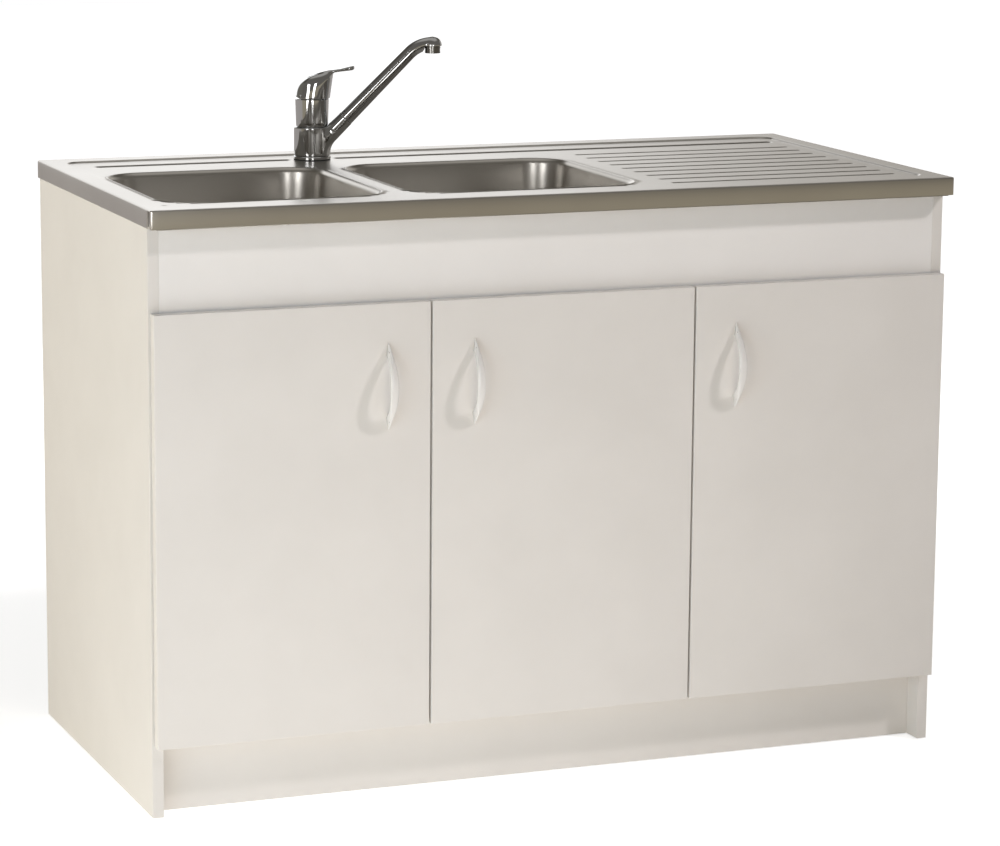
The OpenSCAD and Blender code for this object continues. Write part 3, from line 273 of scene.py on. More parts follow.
def steel_sheet_material():
    """Satin stainless sheet, brushed along its length."""
    material, tree, principled = new_material("stainless_sheet", Metallic=1.0)
    cloud = noise_node(tree, scale=5, detail=3)
    colour = ramp(tree, cloud, [(0.3, (0.56, 0.535, 0.50)), (0.7, (0.62, 0.60, 0.565))])
    tree.links.new(colour, principled.inputs["Base Color"])
    brush = noise_node(tree, scale=60, detail=4, stretch=(0.6, 26, 26), roughness=0.65)
    gloss = ramp(tree, brush, [(0.3, grey(0.285)), (0.7, grey(0.31))])
    tree.links.new(gloss, principled.inputs["Roughness"])
    add_bump(tree, principled, brush, strength=0.02, distance=0.3 * MM)
    return material


def plain_metal(name, colour, rough, spread=0.08):
    """A metal with a slightly uneven polish."""
    material, tree, principled = new_material(name, Metallic=1.0, Base_Color=(*colour, 1))
    low = max(rough - spread / 2, 0.02)
    high = rough + spread / 2
    gloss = ramp(tree, noise_node(tree, scale=60, detail=3), [(0.35, grey(low)), (0.65, grey(high))])
    tree.links.new(gloss, principled.inputs["Roughness"])
    return material


def plain_plastic(name, colour, rough, grain_scale=900):
    """A moulded plastic with a faint surface grain."""
    material, tree, principled = new_material(name, Base_Color=(*colour, 1))
    polish = noise_node(tree, scale=50, detail=2)
    gloss = ramp(tree, polish, [(0.35, grey(rough)), (0.65, grey(rough + 0.06))])
    tree.links.new(gloss, principled.inputs["Roughness"])
    grain = noise_node(tree, grain_scale, detail=1)
    add_bump(tree, principled, grain, strength=0.03, distance=0.2 * MM)
    return material


def fibre_material(name, dark, light, stretch):
    """Hardboard or beech: streaks of fibre along one direction."""
    material, tree, principled = new_material(name, Roughness=0.65)
    streak = noise_node(tree, scale=90, detail=5, stretch=stretch, roughness=0.6)
    tree.links.new(ramp(tree, streak, [(0.3, dark), (0.7, light)]), principled.inputs["Base Color"])
    add_bump(tree, principled, streak, strength=0.15, distance=0.4 * MM)
    return material


def make_materials():
    return {
        "melamine": melamine_material("melamine_white", (0.80, 0.78, 0.745), (0.83, 0.81, 0.775)),
        # A lighter copy of the same melamine for the fascia: painted light against the shade under the
        # sink's overhang
        "melamine_lightened": melamine_material("melamine_lightened", (0.90, 0.89, 0.87), (0.93, 0.92, 0.90)),
        "hardboard": fibre_material("hardboard", (0.30, 0.18, 0.09), (0.42, 0.27, 0.14), (1, 1, 1)),
        "beech": fibre_material("beech", (0.55, 0.37, 0.20), (0.66, 0.47, 0.28), (0.2, 4, 4)),
        "zinc": plain_metal("zinc_plate", (0.62, 0.63, 0.64), 0.28),
        "white_plastic": plain_plastic("white_plastic", (0.80, 0.80, 0.78), 0.40),
        "clear_plastic": plain_plastic("buffer_plastic", (0.74, 0.75, 0.75), 0.20),
        "handle_plastic": plain_plastic("handle_plastic", (0.85, 0.84, 0.82), 0.18, grain_scale=500),
        "stainless": steel_sheet_material(),
        "bright_steel": plain_metal("bright_steel", (0.72, 0.72, 0.71), 0.14),
        "black_rubber": plain_plastic("black_rubber", (0.02, 0.02, 0.02), 0.70),
        "chrome": plain_metal("chrome", (0.56, 0.565, 0.57), 0.05, spread=0.03),
        # Chrome painted dark for the aerator: painted shade for the dim surroundings that it reflects
        "aerator_painted_shade": plain_metal("aerator_painted_shade", (0.20, 0.195, 0.185), 0.22, spread=0.1),
        "brass": plain_metal("brass", (0.72, 0.50, 0.20), 0.25),
        "copper": plain_metal("copper", (0.76, 0.38, 0.24), 0.22),
    }


materials = make_materials()


def soft_edge_nodes():
    """A node group that welds a CAD mesh and smooths every edge but the sharp ones."""
    group = bpy.data.node_groups.new("soft_edges", "GeometryNodeTree")
    group.interface.new_socket("Geometry", in_out="INPUT", socket_type="NodeSocketGeometry")
    group.interface.new_socket("Geometry", in_out="OUTPUT", socket_type="NodeSocketGeometry")
    start = group.nodes.new("NodeGroupInput")
    clear = group.nodes.new("GeometryNodeRemoveAttribute")
    clear.inputs["Name"].default_value = "custom_normal"
    weld = group.nodes.new("GeometryNodeMergeByDistance")
    weld.inputs["Distance"].default_value = WELD_GAP
    smooth = group.nodes.new("GeometryNodeSetShadeSmooth")
    smooth.inputs["Shade Smooth"].default_value = True
    angle = group.nodes.new("GeometryNodeInputMeshEdgeAngle")
    sharp = group.nodes.new("FunctionNodeCompare")
    sharp.data_type = "FLOAT"
    sharp.operation = "LESS_THAN"
    sharp.inputs["B"].default_value = SMOOTH_BELOW
    edges = group.nodes.new("GeometryNodeSetShadeSmooth")
    edges.domain = "EDGE"
    end = group.nodes.new("NodeGroupOutput")
    link = group.links.new
    link(start.outputs[0], clear.inputs["Geometry"])
    link(clear.outputs["Geometry"], weld.inputs["Geometry"])
    link(weld.outputs["Geometry"], smooth.inputs["Geometry"])
    link(smooth.outputs["Geometry"], edges.inputs["Geometry"])
    link(angle.outputs["Unsigned Angle"], sharp.inputs["A"])
    link(sharp.outputs["Result"], edges.inputs["Shade Smooth"])
    link(edges.outputs["Geometry"], end.inputs[0])
    return group


def finish_cad_nodes():
    """Gives each CAD node its material and smooth shading, and the boards a fine chamfer."""
    group = soft_edge_nodes()
    slots = {part["node"]: part["material_slot"] for part in frame["record"]["subparts"]}
    for name, obj in nodes.items():
        obj.data.materials.clear()
        obj.data.materials.append(materials[OWN_MATERIAL.get(name, slots[name])])
        if slots[name] == "melamine":
            obj.modifiers.new("joined", "WELD").merge_threshold = WELD_GAP
            chamfer = obj.modifiers.new("chamfer", "BEVEL")
            chamfer.width = BOARD_CHAMFER
            chamfer.segments = 1
            chamfer.limit_method = "ANGLE"
            chamfer.angle_limit = CHAMFER_ABOVE
        modifier = obj.modifiers.new("soft_edges", "NODES")
        modifier.node_group = group


finish_cad_nodes()


# Mesh helpers

def make_piece(name, points, faces, material, body, normals=None):
    """A smooth mesh object that rides on a body."""
    mesh = bpy.data.meshes.new(name)
    mesh.from_pydata(points, [], faces)
    mesh.validate()
    mesh.polygons.foreach_set("use_smooth", [True] * len(mesh.polygons))
    if normals is not None:
        mesh.normals_split_custom_set_from_vertices(normals)
    mesh.materials.append(materials[material])
    obj = bpy.data.objects.new(name, mesh)
    bpy.context.scene.collection.objects.link(obj)
    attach(obj, body)
    return obj


def rounded_loop(x0, x1, y0, y1, r, corner, sides, seam=0.0):
    """Points anticlockwise round a rectangle whose corners have radius r.

    With a seam, each side run gets one more point at that distance from its front end.
    """
    centres = [(x1 - r, y0 + r, -90), (x1 - r, y1 - r, 0), (x0 + r, y1 - r, 90), (x0 + r, y0 + r, 180)]
    counts = [sides[1], sides[0], sides[1], sides[0]]
    loop = []
    for index, (cx, cy, start) in enumerate(centres):
        for k in range(corner + 1):
            a = math.radians(start + 90 * k / corner)
            loop.append((cx + r * math.cos(a), cy + r * math.sin(a)))
        nx, ny, turn = centres[(index + 1) % 4]
        a = math.radians(turn)
        here = loop[-1]
        there = (nx + r * math.cos(a), ny + r * math.sin(a))
        shares = [k / counts[index] for k in range(1, counts[index])]
        share = seam / math.dist(here, there)
        if seam and index == 0:
            shares.insert(0, share)
        if seam and index == 2:
            shares.append(1 - share)
        loop.extend((here[0] + (there[0] - here[0]) * t, here[1] + (there[1] - here[1]) * t) for t in shares)
    return loop


def strip(first, second, count):
    """The quads between two closed rings of points, given where each ring starts."""
    return [(first + i, first + (i + 1) % count, second + (i + 1) % count, second + i) for i in range(count)]


# The sink: one pressed sheet, from the hem of its skirt to the holes in its bowls

def groove_dip(x, y, ends, at_y, half, deep):
    """Depth of a pressed groove with round ends, at a place on the deck."""
    away = max(ends[0] - x, x - ends[1], 0)
    d = math.hypot(away, y - at_y) / half
    return deep * (0.5 + 0.5 * math.cos(math.pi * d)) if d < 1 else 0.0


def drain_rows():
    step = (DRAIN_Y[1] - DRAIN_Y[0]) / (DRAIN_GROOVES - 1)
    return [DRAIN_Y[0] + step * k for k in range(DRAIN_GROOVES)]


def deck_height(x, y):
    z = DECK_Z
    for ends in LEDGE_ENDS:
        z -= groove_dip(x, y, ends, LEDGE_GROOVE["y"], LEDGE_GROOVE["half"], LEDGE_GROOVE["deep"])
    for row in drain_rows():
        if abs(y - row) < DRAIN_GROOVE["half"]:
            z -= groove_dip(x, y, DRAIN_X, row, DRAIN_GROOVE["half"], DRAIN_GROOVE["deep"])
    return z


def skirt_rings():
    """Insets at the sides and at the back, the corner radius and the height of each ring."""
    low = TOTAL_H - SKIRT_H
    rings = [(2 * SHEET, 2 * SHEET, CORNER_R - 2 * SHEET, low + HEM)]
    for k in range(HEM_STEPS + 1):
        a = math.radians(180 * k / HEM_STEPS)
        inset = SHEET * (1 + math.cos(a))
        rings.append((inset, inset, CORNER_R - inset, low + SHEET * (1 - math.sin(a))))
    for k in range(BEND_STEPS + 1):
        a = math.radians(90 * k / BEND_STEPS)
        inset = BEND_R * (1 - math.cos(a))
        rings.append((inset, inset, CORNER_R - inset, TOTAL_H - BEND_R + BEND_R * math.sin(a)))

    # The flat of the rim, and the slope down to the deck
    slope_start = RIM_W - 0.5 * MM
    flat_end = slope_start - 3 * MM
    back_extra = RIM_BACK - RIM_W
    rings.append((4 * MM, 4 * MM, 3 * MM, TOTAL_H))
    rings.append((flat_end, flat_end + back_extra, RIM_CORNER + 2 * MM, TOTAL_H))
    for k in range(SLOPE_STEPS + 1):
        t = k / SLOPE_STEPS
        inset = slope_start + t * (RIM_SLOPE + 1 * MM)
        drop = DECK_DROP * (0.5 - 0.5 * math.cos(math.pi * t))
        rings.append((inset, inset + back_extra, RIM_CORNER - t * RIM_SLOPE, TOTAL_H - drop))
    return rings


def ring_box(inset, back, radius):
    """The rounded rectangle of a ring: x0, x1, y0, y1 and its corner radius."""
    half = SINK_W / 2
    return -half + inset, half - inset, SINK_FRONT + inset, SINK_BACK - back, radius


DECK_BOX = ring_box(*skirt_rings()[-1][:3])


def bowl_rings():
    """The rings of a bowl from its lip to the edge of its floor: inset and height."""
    rings = []
    for k in range(1, LIP_STEPS + 1):
        a = (math.pi / 2 - BOWL_DRAFT) * k / LIP_STEPS
        rings.append((LIP_R * math.sin(a), DECK_Z - LIP_R * (1 - math.cos(a))))
    inset, z = rings[-1]
    fillet_top = DECK_Z - BOWL_DEPTH + BOWL_FILLET * (1 - math.sin(BOWL_DRAFT))
    run = (z - fillet_top) * math.tan(BOWL_DRAFT)
    for k in range(1, WALL_STEPS + 1):
        rings.append((inset + run * k / WALL_STEPS, z + (fillet_top - z) * k / WALL_STEPS))
    inset = rings[-1][0]
    for k in range(1, FILLET_STEPS + 1):
        a = BOWL_DRAFT + (math.pi / 2 - BOWL_DRAFT) * k / FILLET_STEPS
        rings.append((
            inset + BOWL_FILLET * (math.cos(BOWL_DRAFT) - math.cos(a)),
            DECK_Z - BOWL_DEPTH + BOWL_FILLET * (1 - math.sin(a)),
        ))
    return rings


def floor_rings():
    """The rings of a bowl's floor, down to the waste: share of the way in, radius and height."""
    floor = DECK_Z - BOWL_DEPTH
    rings = [(k / FLOOR_STEPS, DISH_R, floor) for k in range(1, FLOOR_STEPS + 1)]
    rings.extend((1, DISH_R - inset, floor - drop) for inset, drop in DISH_EDGE)
    rings.append((1, WASTE_R, floor - DISH_DEEP))
    return rings


def add_ring(points, faces, outside, places):
    """Adds a ring of points inside another, joins the two, and gives the new points' numbers."""
    count = len(outside)
    ring = list(range(len(points), len(points) + count))
    points.extend(places)
    for i in range(count):
        j = (i + 1) % count
        faces.append((outside[j], outside[i], ring[i], ring[j]))
    return ring


def bowl_outline(x0, x1, inset=0.0):
    radius = max(BOWL_CORNER - inset, 1 * MM)
    box = (x0 + inset, x1 - inset, BOWL_Y[0] + inset, BOWL_Y[1] - inset, radius)
    return rounded_loop(*box, BOWL_CORNER_POINTS, BOWL_SIDES)


def bowl_mesh(points, faces, outline, x0, x1):
    """Adds a bowl under an outline of points that are already in the mesh."""
    ring = outline
    for inset, z in bowl_rings():
        ring = add_ring(points, faces, ring, [(x, y, z) for x, y in bowl_outline(x0, x1, inset)])
    middle = Vector(((x0 + x1) / 2, (BOWL_Y[0] + BOWL_Y[1]) / 2))
    edge = [Vector(points[i][:2]) for i in ring]
    for share, radius, z in floor_rings():
        places = [p.lerp(middle + (p - middle).normalized() * radius, share) for p in edge]
        ring = add_ring(points, faces, ring, [(p.x, p.y, z) for p in places])


def inside(x, y, x0, x1, y0, y1, r, grow):
    """True if a place lies within a rounded rectangle grown by a margin."""
    dx = max(x0 + r - x, x - x1 + r, 0)
    dy = max(y0 + r - y, y - y1 + r, 0)
    return math.hypot(dx, dy) < r + grow


def on_deck(x, y, margin, hole_r):
    """True if a place lies on the deck, clear of its edge, of its bowls and of the tap's hole."""
    if math.hypot(x - TAP.x, y - TAP.y) < hole_r or not inside(x, y, *DECK_BOX, -margin):
        return False
    return not any(inside(x, y, *ends, *BOWL_Y, BOWL_CORNER, margin) for ends in BOWLS.values())


def across(middle, half, steps):
    """Places across a groove, to one step beyond its edges."""
    return [middle + half * k / steps for k in range(-steps - 1, steps + 2)]


def deck_points():
    """Places on the deck whose height matters: a grid that is finer where a groove bends the sheet."""
    edge = RIM_W + RIM_SLOPE + 1.5 * MM
    wide = SINK_W - 2 * edge
    deep = SINK_BACK - SINK_FRONT - 2 * edge - (RIM_BACK - RIM_W)
    xs = [round(edge - SINK_W / 2 + wide * k / (DECK_COLUMNS - 1), 5) for k in range(DECK_COLUMNS)]
    ys = [round(SINK_FRONT + edge + deep * k / (DECK_ROWS - 1), 5) for k in range(DECK_ROWS)]

    half = LEDGE_GROOVE["half"]
    ledge = LEDGE_GROOVE["y"]
    spots = [(x, y) for x in xs for y in ys if abs(y - ledge) > half * LEDGE_CLEAR]
    ends = itertools.chain(*LEDGE_ENDS)
    columns = xs + [x for end in ends for x in across(end, half, LEDGE_STEPS)]
    spots.extend(itertools.product(columns, across(ledge, half, LEDGE_STEPS)))

    half = DRAIN_GROOVE["half"]
    x_low, x_high = DRAIN_X[0] - half, DRAIN_X[1] + half
    y_low, y_high = DRAIN_Y[0] - half, DRAIN_Y[1] + half
    spots = [(x, y) for x, y in spots if not (x_low < x < x_high and y_low < y < y_high)]
    columns = [x for x in xs if x_low + DRAIN_END < x < x_high - DRAIN_END]
    for end in DRAIN_X:
        columns.extend(across(end, half, DRAIN_STEPS))
    for row in drain_rows():
        spots.extend(itertools.product(columns, across(row, half, DRAIN_STEPS)))
    return [p for p in spots if on_deck(*p, POINT_MARGIN, TAP_HOLE_R + POINT_MARGIN)]


def seam_columns(count):
    """The skirt's two open columns of quads, just behind its front corners."""
    return RIM_CORNER_POINTS, count - RIM_CORNER_POINTS - RIM_SIDES[0] - 2


def skirt_mesh(points, faces):
    """Adds the skirt and the rim, and gives the numbers of the points round the deck."""
    rings = skirt_rings()
    for inset, back, radius, z in rings:
        box = ring_box(inset, back, max(radius, 0.5 * MM))
        points.extend((x, y, z) for x, y in rounded_loop(*box, RIM_CORNER_POINTS, RIM_SIDES, SEAM_W))
    count = len(points) // len(rings)
    for k, ring in enumerate(rings[1:]):
        quads = strip(k * count, (k + 1) * count, count)
        if ring[3] <= TOTAL_H - BEND_R:
            quads = [quad for i, quad in enumerate(quads) if i not in seam_columns(count)]
        faces.extend(quads)
    return list(range(len(points) - count, len(points)))


def front_flange(points):
    """Adds the fold under the skirt's front edge and gives its face, which looks down."""
    start = len(points)
    half = SINK_W / 2 - 3 * CORNER_R
    low = TOTAL_H - SKIRT_H
    for x, y in ((-half, 1), (-half, 0), (half, 0), (half, 1)):
        points.append((x, SINK_FRONT + SHEET + y * FRONT_FLANGE, low))
    return tuple(range(start, start + 4))


def tap_hole():
    turns = [math.radians(360 / TAP_HOLE_POINTS * k) for k in range(TAP_HOLE_POINTS)]
    return [(TAP.x + TAP_HOLE_R * math.cos(a), TAP.y + TAP_HOLE_R * math.sin(a)) for a in turns]


def deck_mesh(points, faces, rim):
    """Adds the deck, and gives the outlines of the bowls as numbers of points.

    It is triangulated between the rim, the bowls' outlines and the tap's hole.
    """
    flat = [Vector(points[i][:2]) for i in rim]
    owners = list(rim)
    loops = [list(range(len(rim)))]
    for outline in [bowl_outline(*ends) for ends in BOWLS.values()] + [tap_hole()]:
        loops.append(list(range(len(flat), len(flat) + len(outline))))
        flat.extend(Vector(p) for p in outline)
        owners.extend(range(len(points), len(points) + len(outline)))
        points.extend((x, y, DECK_Z) for x, y in outline)
    for x, y in deck_points():
        flat.append(Vector((x, y)))
        owners.append(len(points))
        points.append((x, y, deck_height(x, y)))
    edges = [(loop[i], loop[(i + 1) % len(loop)]) for loop in loops for i in range(len(loop))]
    spots, _, triangles, sources, _, _ = geometry.delaunay_2d_cdt(flat, edges, [], 0, 1e-6)
    for triangle in triangles:
        centre = sum((spots[i] for i in triangle), Vector((0, 0))) / 3
        if on_deck(*centre, 0, TAP_HOLE_R * HOLE_CHORDS):
            faces.append(tuple(owners[sources[i][0]] for i in triangle))
    return [[owners[i] for i in loop] for loop in loops[1:3]]


def sink_top():
    points = []
    faces = []
    rim = skirt_mesh(points, faces)
    faces.append(front_flange(points))
    outlines = deck_mesh(points, faces, rim)
    for outline, ends in zip(outlines, BOWLS.values()):
        bowl_mesh(points, faces, outline, *ends)
    sink = make_piece("sink_top", points, faces, "stainless", "cabinet")
    thick = sink.modifiers.new("sheet", "SOLIDIFY")
    thick.thickness = SHEET
    thick.offset = -1
    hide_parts("sink_deck", "left_bowl", "right_bowl")


sink_top()


# The handles: bows with a lens for their front outline

def arc_height(z, half, rise):
    """Height of an arc over its chord, at a distance z from the chord's middle."""
    radius = (half * half + rise * rise) / (2 * rise)
    return math.sqrt(radius ** 2 - z * z) - radius + rise


def fuller(value):
    """A sine or cosine pushed outwards, so that a round section gets squarer."""
    return math.copysign(abs(value) ** HANDLE_FULLNESS, value)


def bow_handle(name, x):
    half = HANDLE_LEN / 2
    points = []
    faces = []
    for i in range(1, HANDLE_ROWS):
        z = half * math.sin(math.pi * (i / HANDLE_ROWS - 0.5))
        outer = arc_height(z, half, HANDLE_OUT)
        inner = 0.0
        if abs(z) < HANDLE_HOLE:
            inner = arc_height(z, HANDLE_HOLE, HANDLE_OUT - HANDLE_BOW)
        wide = arc_height(z, half, HANDLE_W / 2)
        for k in range(HANDLE_AROUND):
            a = 2 * math.pi * k / HANDLE_AROUND
            if inner == 0.0:
                out = max(0.0, fuller(math.sin(a))) * outer
            else:
                out = (inner + outer) / 2 + fuller(math.sin(a)) * (outer - inner) / 2
            points.append((x + fuller(math.cos(a)) * wide, DOOR_FRONT - out, HANDLE_Z + z))
    for i in range(HANDLE_ROWS - 2):
        faces.extend(strip(i * HANDLE_AROUND, (i + 1) * HANDLE_AROUND, HANDLE_AROUND))
    faces.append(tuple(reversed(range(HANDLE_AROUND))))
    faces.append(tuple(range(len(points) - HANDLE_AROUND, len(points))))
    return make_piece(name + "_handle_bow", points, faces, "handle_plastic", name + "_door")


for side, handle_x in HANDLES.items():
    bow = bow_handle(side, handle_x)
    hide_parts(side + "_handle")


# The tap's smooth pieces, each the surface on which a distance field is zero

def soft_min(a, b, reach):
    """The smaller of two fields, blended where they are within a reach of each other."""
    overlap = np.maximum(reach - np.abs(a - b), 0) / reach
    return np.minimum(a, b) - overlap ** 2 * reach / 4


def soft_max(a, b, reach):
    return -soft_min(-a, -b, reach)


def field_slope(field, points):
    """How fast and in which direction a field grows, at each point."""
    slopes = []
    for axis in range(3):
        ahead = points.copy()
        behind = points.copy()
        ahead[:, axis] += FIELD_STEP
        behind[:, axis] -= FIELD_STEP
        slopes.append((field(*ahead.T) - field(*behind.T)) / (2 * FIELD_STEP))
    return np.stack(slopes, axis=1)


def cell_faces(solid, number):
    """Quads between the numbered cells, one wherever the field changes sign along an axis."""
    faces = []
    for axis in range(3):
        one, two = (axis + 1) % 3, (axis + 2) % 3
        lower = np.take(solid, range(number.shape[axis]), axis)
        upper = np.take(solid, range(1, number.shape[axis] + 1), axis)
        for crossing, order in ((lower & ~upper, 1), (upper & ~lower, -1)):
            place = np.argwhere(crossing)
            ring = []
            for back_one, back_two in ((1, 1), (0, 1), (0, 0), (1, 0)):
                at = place.copy()
                at[:, one] -= back_one
                at[:, two] -= back_two
                ring.append(number[tuple(at.T)])
            faces.extend(np.stack(ring[::order], axis=1).tolist())
    return faces


def field_surface(field, low, high, cell):
    """Points, quads and normals of a field's zero surface: one point in each cell that it crosses."""
    axes = [np.arange(low[i] - cell, high[i] + 2 * cell, cell) for i in range(3)]
    solid = field(*np.meshgrid(*axes, indexing="ij")) < 0
    cells = [len(a) - 1 for a in axes]
    count = np.zeros(cells, int)
    for i, j, k in itertools.product((0, 1), repeat=3):
        count += solid[i:i + cells[0], j:j + cells[1], k:k + cells[2]]
    mixed = (count > 0) & (count < 8)
    number = np.full(cells, -1)
    number[mixed] = np.arange(mixed.sum())
    points = np.stack([axes[i][index] + cell / 2 for i, index in enumerate(np.nonzero(mixed))], axis=1)
    for _ in range(PULLS):
        slope = field_slope(field, points)
        step = field(*points.T) / np.maximum((slope ** 2).sum(1), 0.1)
        points -= slope * np.clip(step, -cell, cell)[:, None]
    slope = field_slope(field, points)
    return points, cell_faces(solid, number), slope / np.linalg.norm(slope, axis=1)[:, None]


def tap_piece(name, field, low, high, cell, body, lift=0.0):
    """A chrome piece of the tap from its field, whose heights start at a lift above the deck."""
    points, faces, normals = field_surface(field, low, high, cell)
    turn = Matrix.Rotation(TAP_TURN, 3, "Z")
    world = [TAP + turn @ (Vector((x, y, z + lift)) * MM) for x, y, z in points.tolist()]
    normals = [turn @ Vector(n) for n in normals.tolist()]
    return make_piece(name, world, faces, "chrome", body, normals)


def limb(x, y, z, start, end, radii):
    """Fields of a round limb's side, and of its start and end planes."""
    length = math.dist(start, end)
    ux = (end[0] - start[0]) / length
    uz = (end[1] - start[1]) / length
    along = (x - start[0]) * ux + (z - start[1]) * uz
    across = np.hypot((z - start[1]) * ux - (x - start[0]) * uz, y)
    share = np.clip(along / length, 0, 1)
    return across - radii[0] - (radii[1] - radii[0]) * share, -along, along - length


def collar_field(x, y, z):
    around = np.hypot(x, y)
    low, high = COLLAR_Z
    drum = soft_max(around - COLLAR_R, z - high, reach=1.6)
    side, _, end = limb(x, y, z, SPOUT_FOOT, SPOUT_JOINT, ROOT_R)
    whole = soft_min(drum, soft_max(side, end, reach=1.2), reach=8)
    whole = soft_max(whole, low - z, reach=1.2)
    head = np.maximum(around - TAP_R - HEAD_FIT, high - z)
    return np.maximum(np.maximum(whole, -head), COLLAR_BORE - around)


def spout_field(x, y, z):
    bend_z = SPOUT_RISE - SPOUT_BEND_R
    start = (
        SPOUT_REACH - SPOUT_BEND_R * math.sin(SPOUT_SLOPE),
        bend_z + SPOUT_BEND_R * math.cos(SPOUT_SLOPE),
    )
    side, low_end, high_end = limb(x, y, z, SPOUT_JOINT, start, TUBE_R)
    tube = soft_max(np.maximum(side, high_end - LAP), low_end, reach=1.2)
    bend = np.hypot(np.hypot(x - SPOUT_REACH, z - bend_z) - SPOUT_BEND_R, y) - TUBE_R[1]
    bend = np.maximum(bend, np.maximum(-LAP - high_end, x - SPOUT_REACH))
    whole = np.minimum(tube, bend)
    ball = np.sqrt((x - BALL[0]) ** 2 + y ** 2 + (z - BALL[1]) ** 2) - BALL[2]
    whole = soft_min(whole, ball, reach=3)
    out = np.hypot(x - SPOUT_REACH, y)
    seat = np.maximum(out - SEAT_R, z - SEAT_TOP)
    whole = soft_min(whole, seat, reach=1.5)
    under = np.maximum(out - SEAT_R - SEAT_CUT, z - SEAT_Z)
    return soft_max(whole, -under, reach=0.8)


def hood_radius():
    """A smooth curve through the hood's side line: its distance from an eye point, by direction."""
    turns = [math.atan2(z - HOOD_EYE[1], x - HOOD_EYE[0]) for x, z in HOOD_LINE]
    reaches = [math.dist(p, HOOD_EYE) for p in HOOD_LINE]
    return np.polynomial.Polynomial.fit(turns, reaches, deg=5), min(turns), max(turns)


HOOD_CURVE, HOOD_FROM, HOOD_TO = hood_radius()


def hood_shell(x, y, z):
    """The hood's outside, without its open bottom."""
    lean = x * math.cos(HOOD_LEAN) - z * math.sin(HOOD_LEAN)
    wall = np.hypot(lean, y) - HOOD_R
    turn = np.clip(np.arctan2(z - HOOD_EYE[1], x - HOOD_EYE[0]), HOOD_FROM, HOOD_TO)
    roof = np.hypot(x - HOOD_EYE[0], z - HOOD_EYE[1]) - HOOD_CURVE(turn)
    arch = np.hypot(y, z - HOOD_ARCH[0]) - HOOD_ARCH[1]
    return soft_max(wall, soft_max(roof, arch, reach=4), reach=9)


def lever_field(x, y, z):
    shell = hood_shell(x, y, z)
    places, middles, halves = zip(*BLADE_LINE)
    flat = np.abs(z - np.interp(x, places, middles)) - np.interp(x, places, halves)
    plan = np.abs(y) - np.interp(x, *zip(*BLADE_WIDE))
    tip = np.hypot(np.maximum(x - BLADE_TIP[0], 0), y) - BLADE_TIP[1]
    plan = np.where(x > BLADE_TIP[0], tip, np.maximum(plan, BLADE_START - x))
    whole = soft_min(shell, soft_max(flat, plan, reach=3.5), reach=4)
    whole = soft_max(whole, -(shell + HOOD_WALL), reach=1)
    ahead = x - LEVER_PIVOT[0]
    rear = np.maximum(ahead, z + LEVER_REAR_GAP + ahead * LEVER_REAR_CUT)
    pin = np.maximum(np.hypot(ahead, z - LEVER_PIVOT[1]) - LEVER_PIN[0], np.abs(y) - LEVER_PIN[1])
    whole = np.maximum(np.maximum(whole, -pin), -rear)
    return soft_max(whole, LEVER_FIT - z, reach=0.8)


def tap_pieces():
    """The spout's collar and tube and the lever, each within a box that its field is searched in."""
    collar = tap_piece("collar_look", collar_field, (-28, -28, 5), (62, 28, 75), 0.9, "spout")
    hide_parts("spout_collar")
    spout = tap_piece("spout_look", spout_field, (38, -14, 48), (196, 14, 187), 1.0, "spout")
    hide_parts("spout_tube")
    lever = tap_piece("lever_look", lever_field, (-28, -28, 0), (66, 28, 52), 0.8, "lever", HEAD_Z)
    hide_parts("lever")


tap_pieces()


# The studio: a white floor, soft lamps, and a dim room that only metal sees

def add_math(tree, operation, first, second):
    """A sum, product or larger of two values, each given as a number or as a socket."""
    node = tree.nodes.new("ShaderNodeMath")
    node.operation = operation
    for socket, value in zip(node.inputs, (first, second)):
        if isinstance(value, (int, float)):
            socket.default_value = value
        else:
            tree.links.new(value, socket)
    return node.outputs[0]


def ray_is(tree, *kinds):
    """1 for the named kinds of ray and 0 for the others."""
    paths = tree.nodes.new("ShaderNodeLightPath")
    total = paths.outputs[kinds[0]]
    for kind in kinds[1:]:
        total = add_math(tree, "MAXIMUM", total, paths.outputs[kind])
    return total


def fade(tree, value, low, high):
    """From 0 to 1 as a value goes from low to high, softly."""
    node = tree.nodes.new("ShaderNodeMapRange")
    node.interpolation_type = "SMOOTHSTEP"
    node.inputs["From Min"].default_value = low
    node.inputs["From Max"].default_value = high
    tree.links.new(value, node.inputs["Value"])
    return node.outputs["Result"]


def mix_colour(tree, share, first, second):
    """A blend of two colours, each given as numbers or as a socket."""
    node = tree.nodes.new("ShaderNodeMix")
    node.data_type = "RGBA"
    for index, colour in ((6, first), (7, second)):
        if isinstance(colour, tuple):
            node.inputs[index].default_value = (*colour, 1)
        else:
            tree.links.new(colour, node.inputs[index])
    tree.links.new(share, node.inputs[0])
    return node.outputs[2]


# The room that metal sees, and between which parts of a ray's direction each colour gives way to the next:
# a white wall behind that ends at the left, at the right and at its top, and a dim room in front and above.
# Everything else sees an even ambient light.
ROOM_WHITE = (1.5, 1.5, 1.5)
ROOM_RIGHT = (0.60, 0.575, 0.54)
ROOM_LEFT = (0.20, 0.19, 0.165)
ROOM_DARK = (0.10, 0.093, 0.08)
ROOM_FRONT = (0.17, 0.16, 0.145)
ROOM_ABOVE = (0.50, 0.485, 0.46)
WALL_LEFT_END = (-0.45, -0.25)
WALL_RIGHT_END = (0.32, 0.46)
WALL_TOP = (0.34, 0.52)
WALL_FOREMOST = (-0.15, 0.25)
CEILING = (0.74, 0.94)
AMBIENT = 0.1

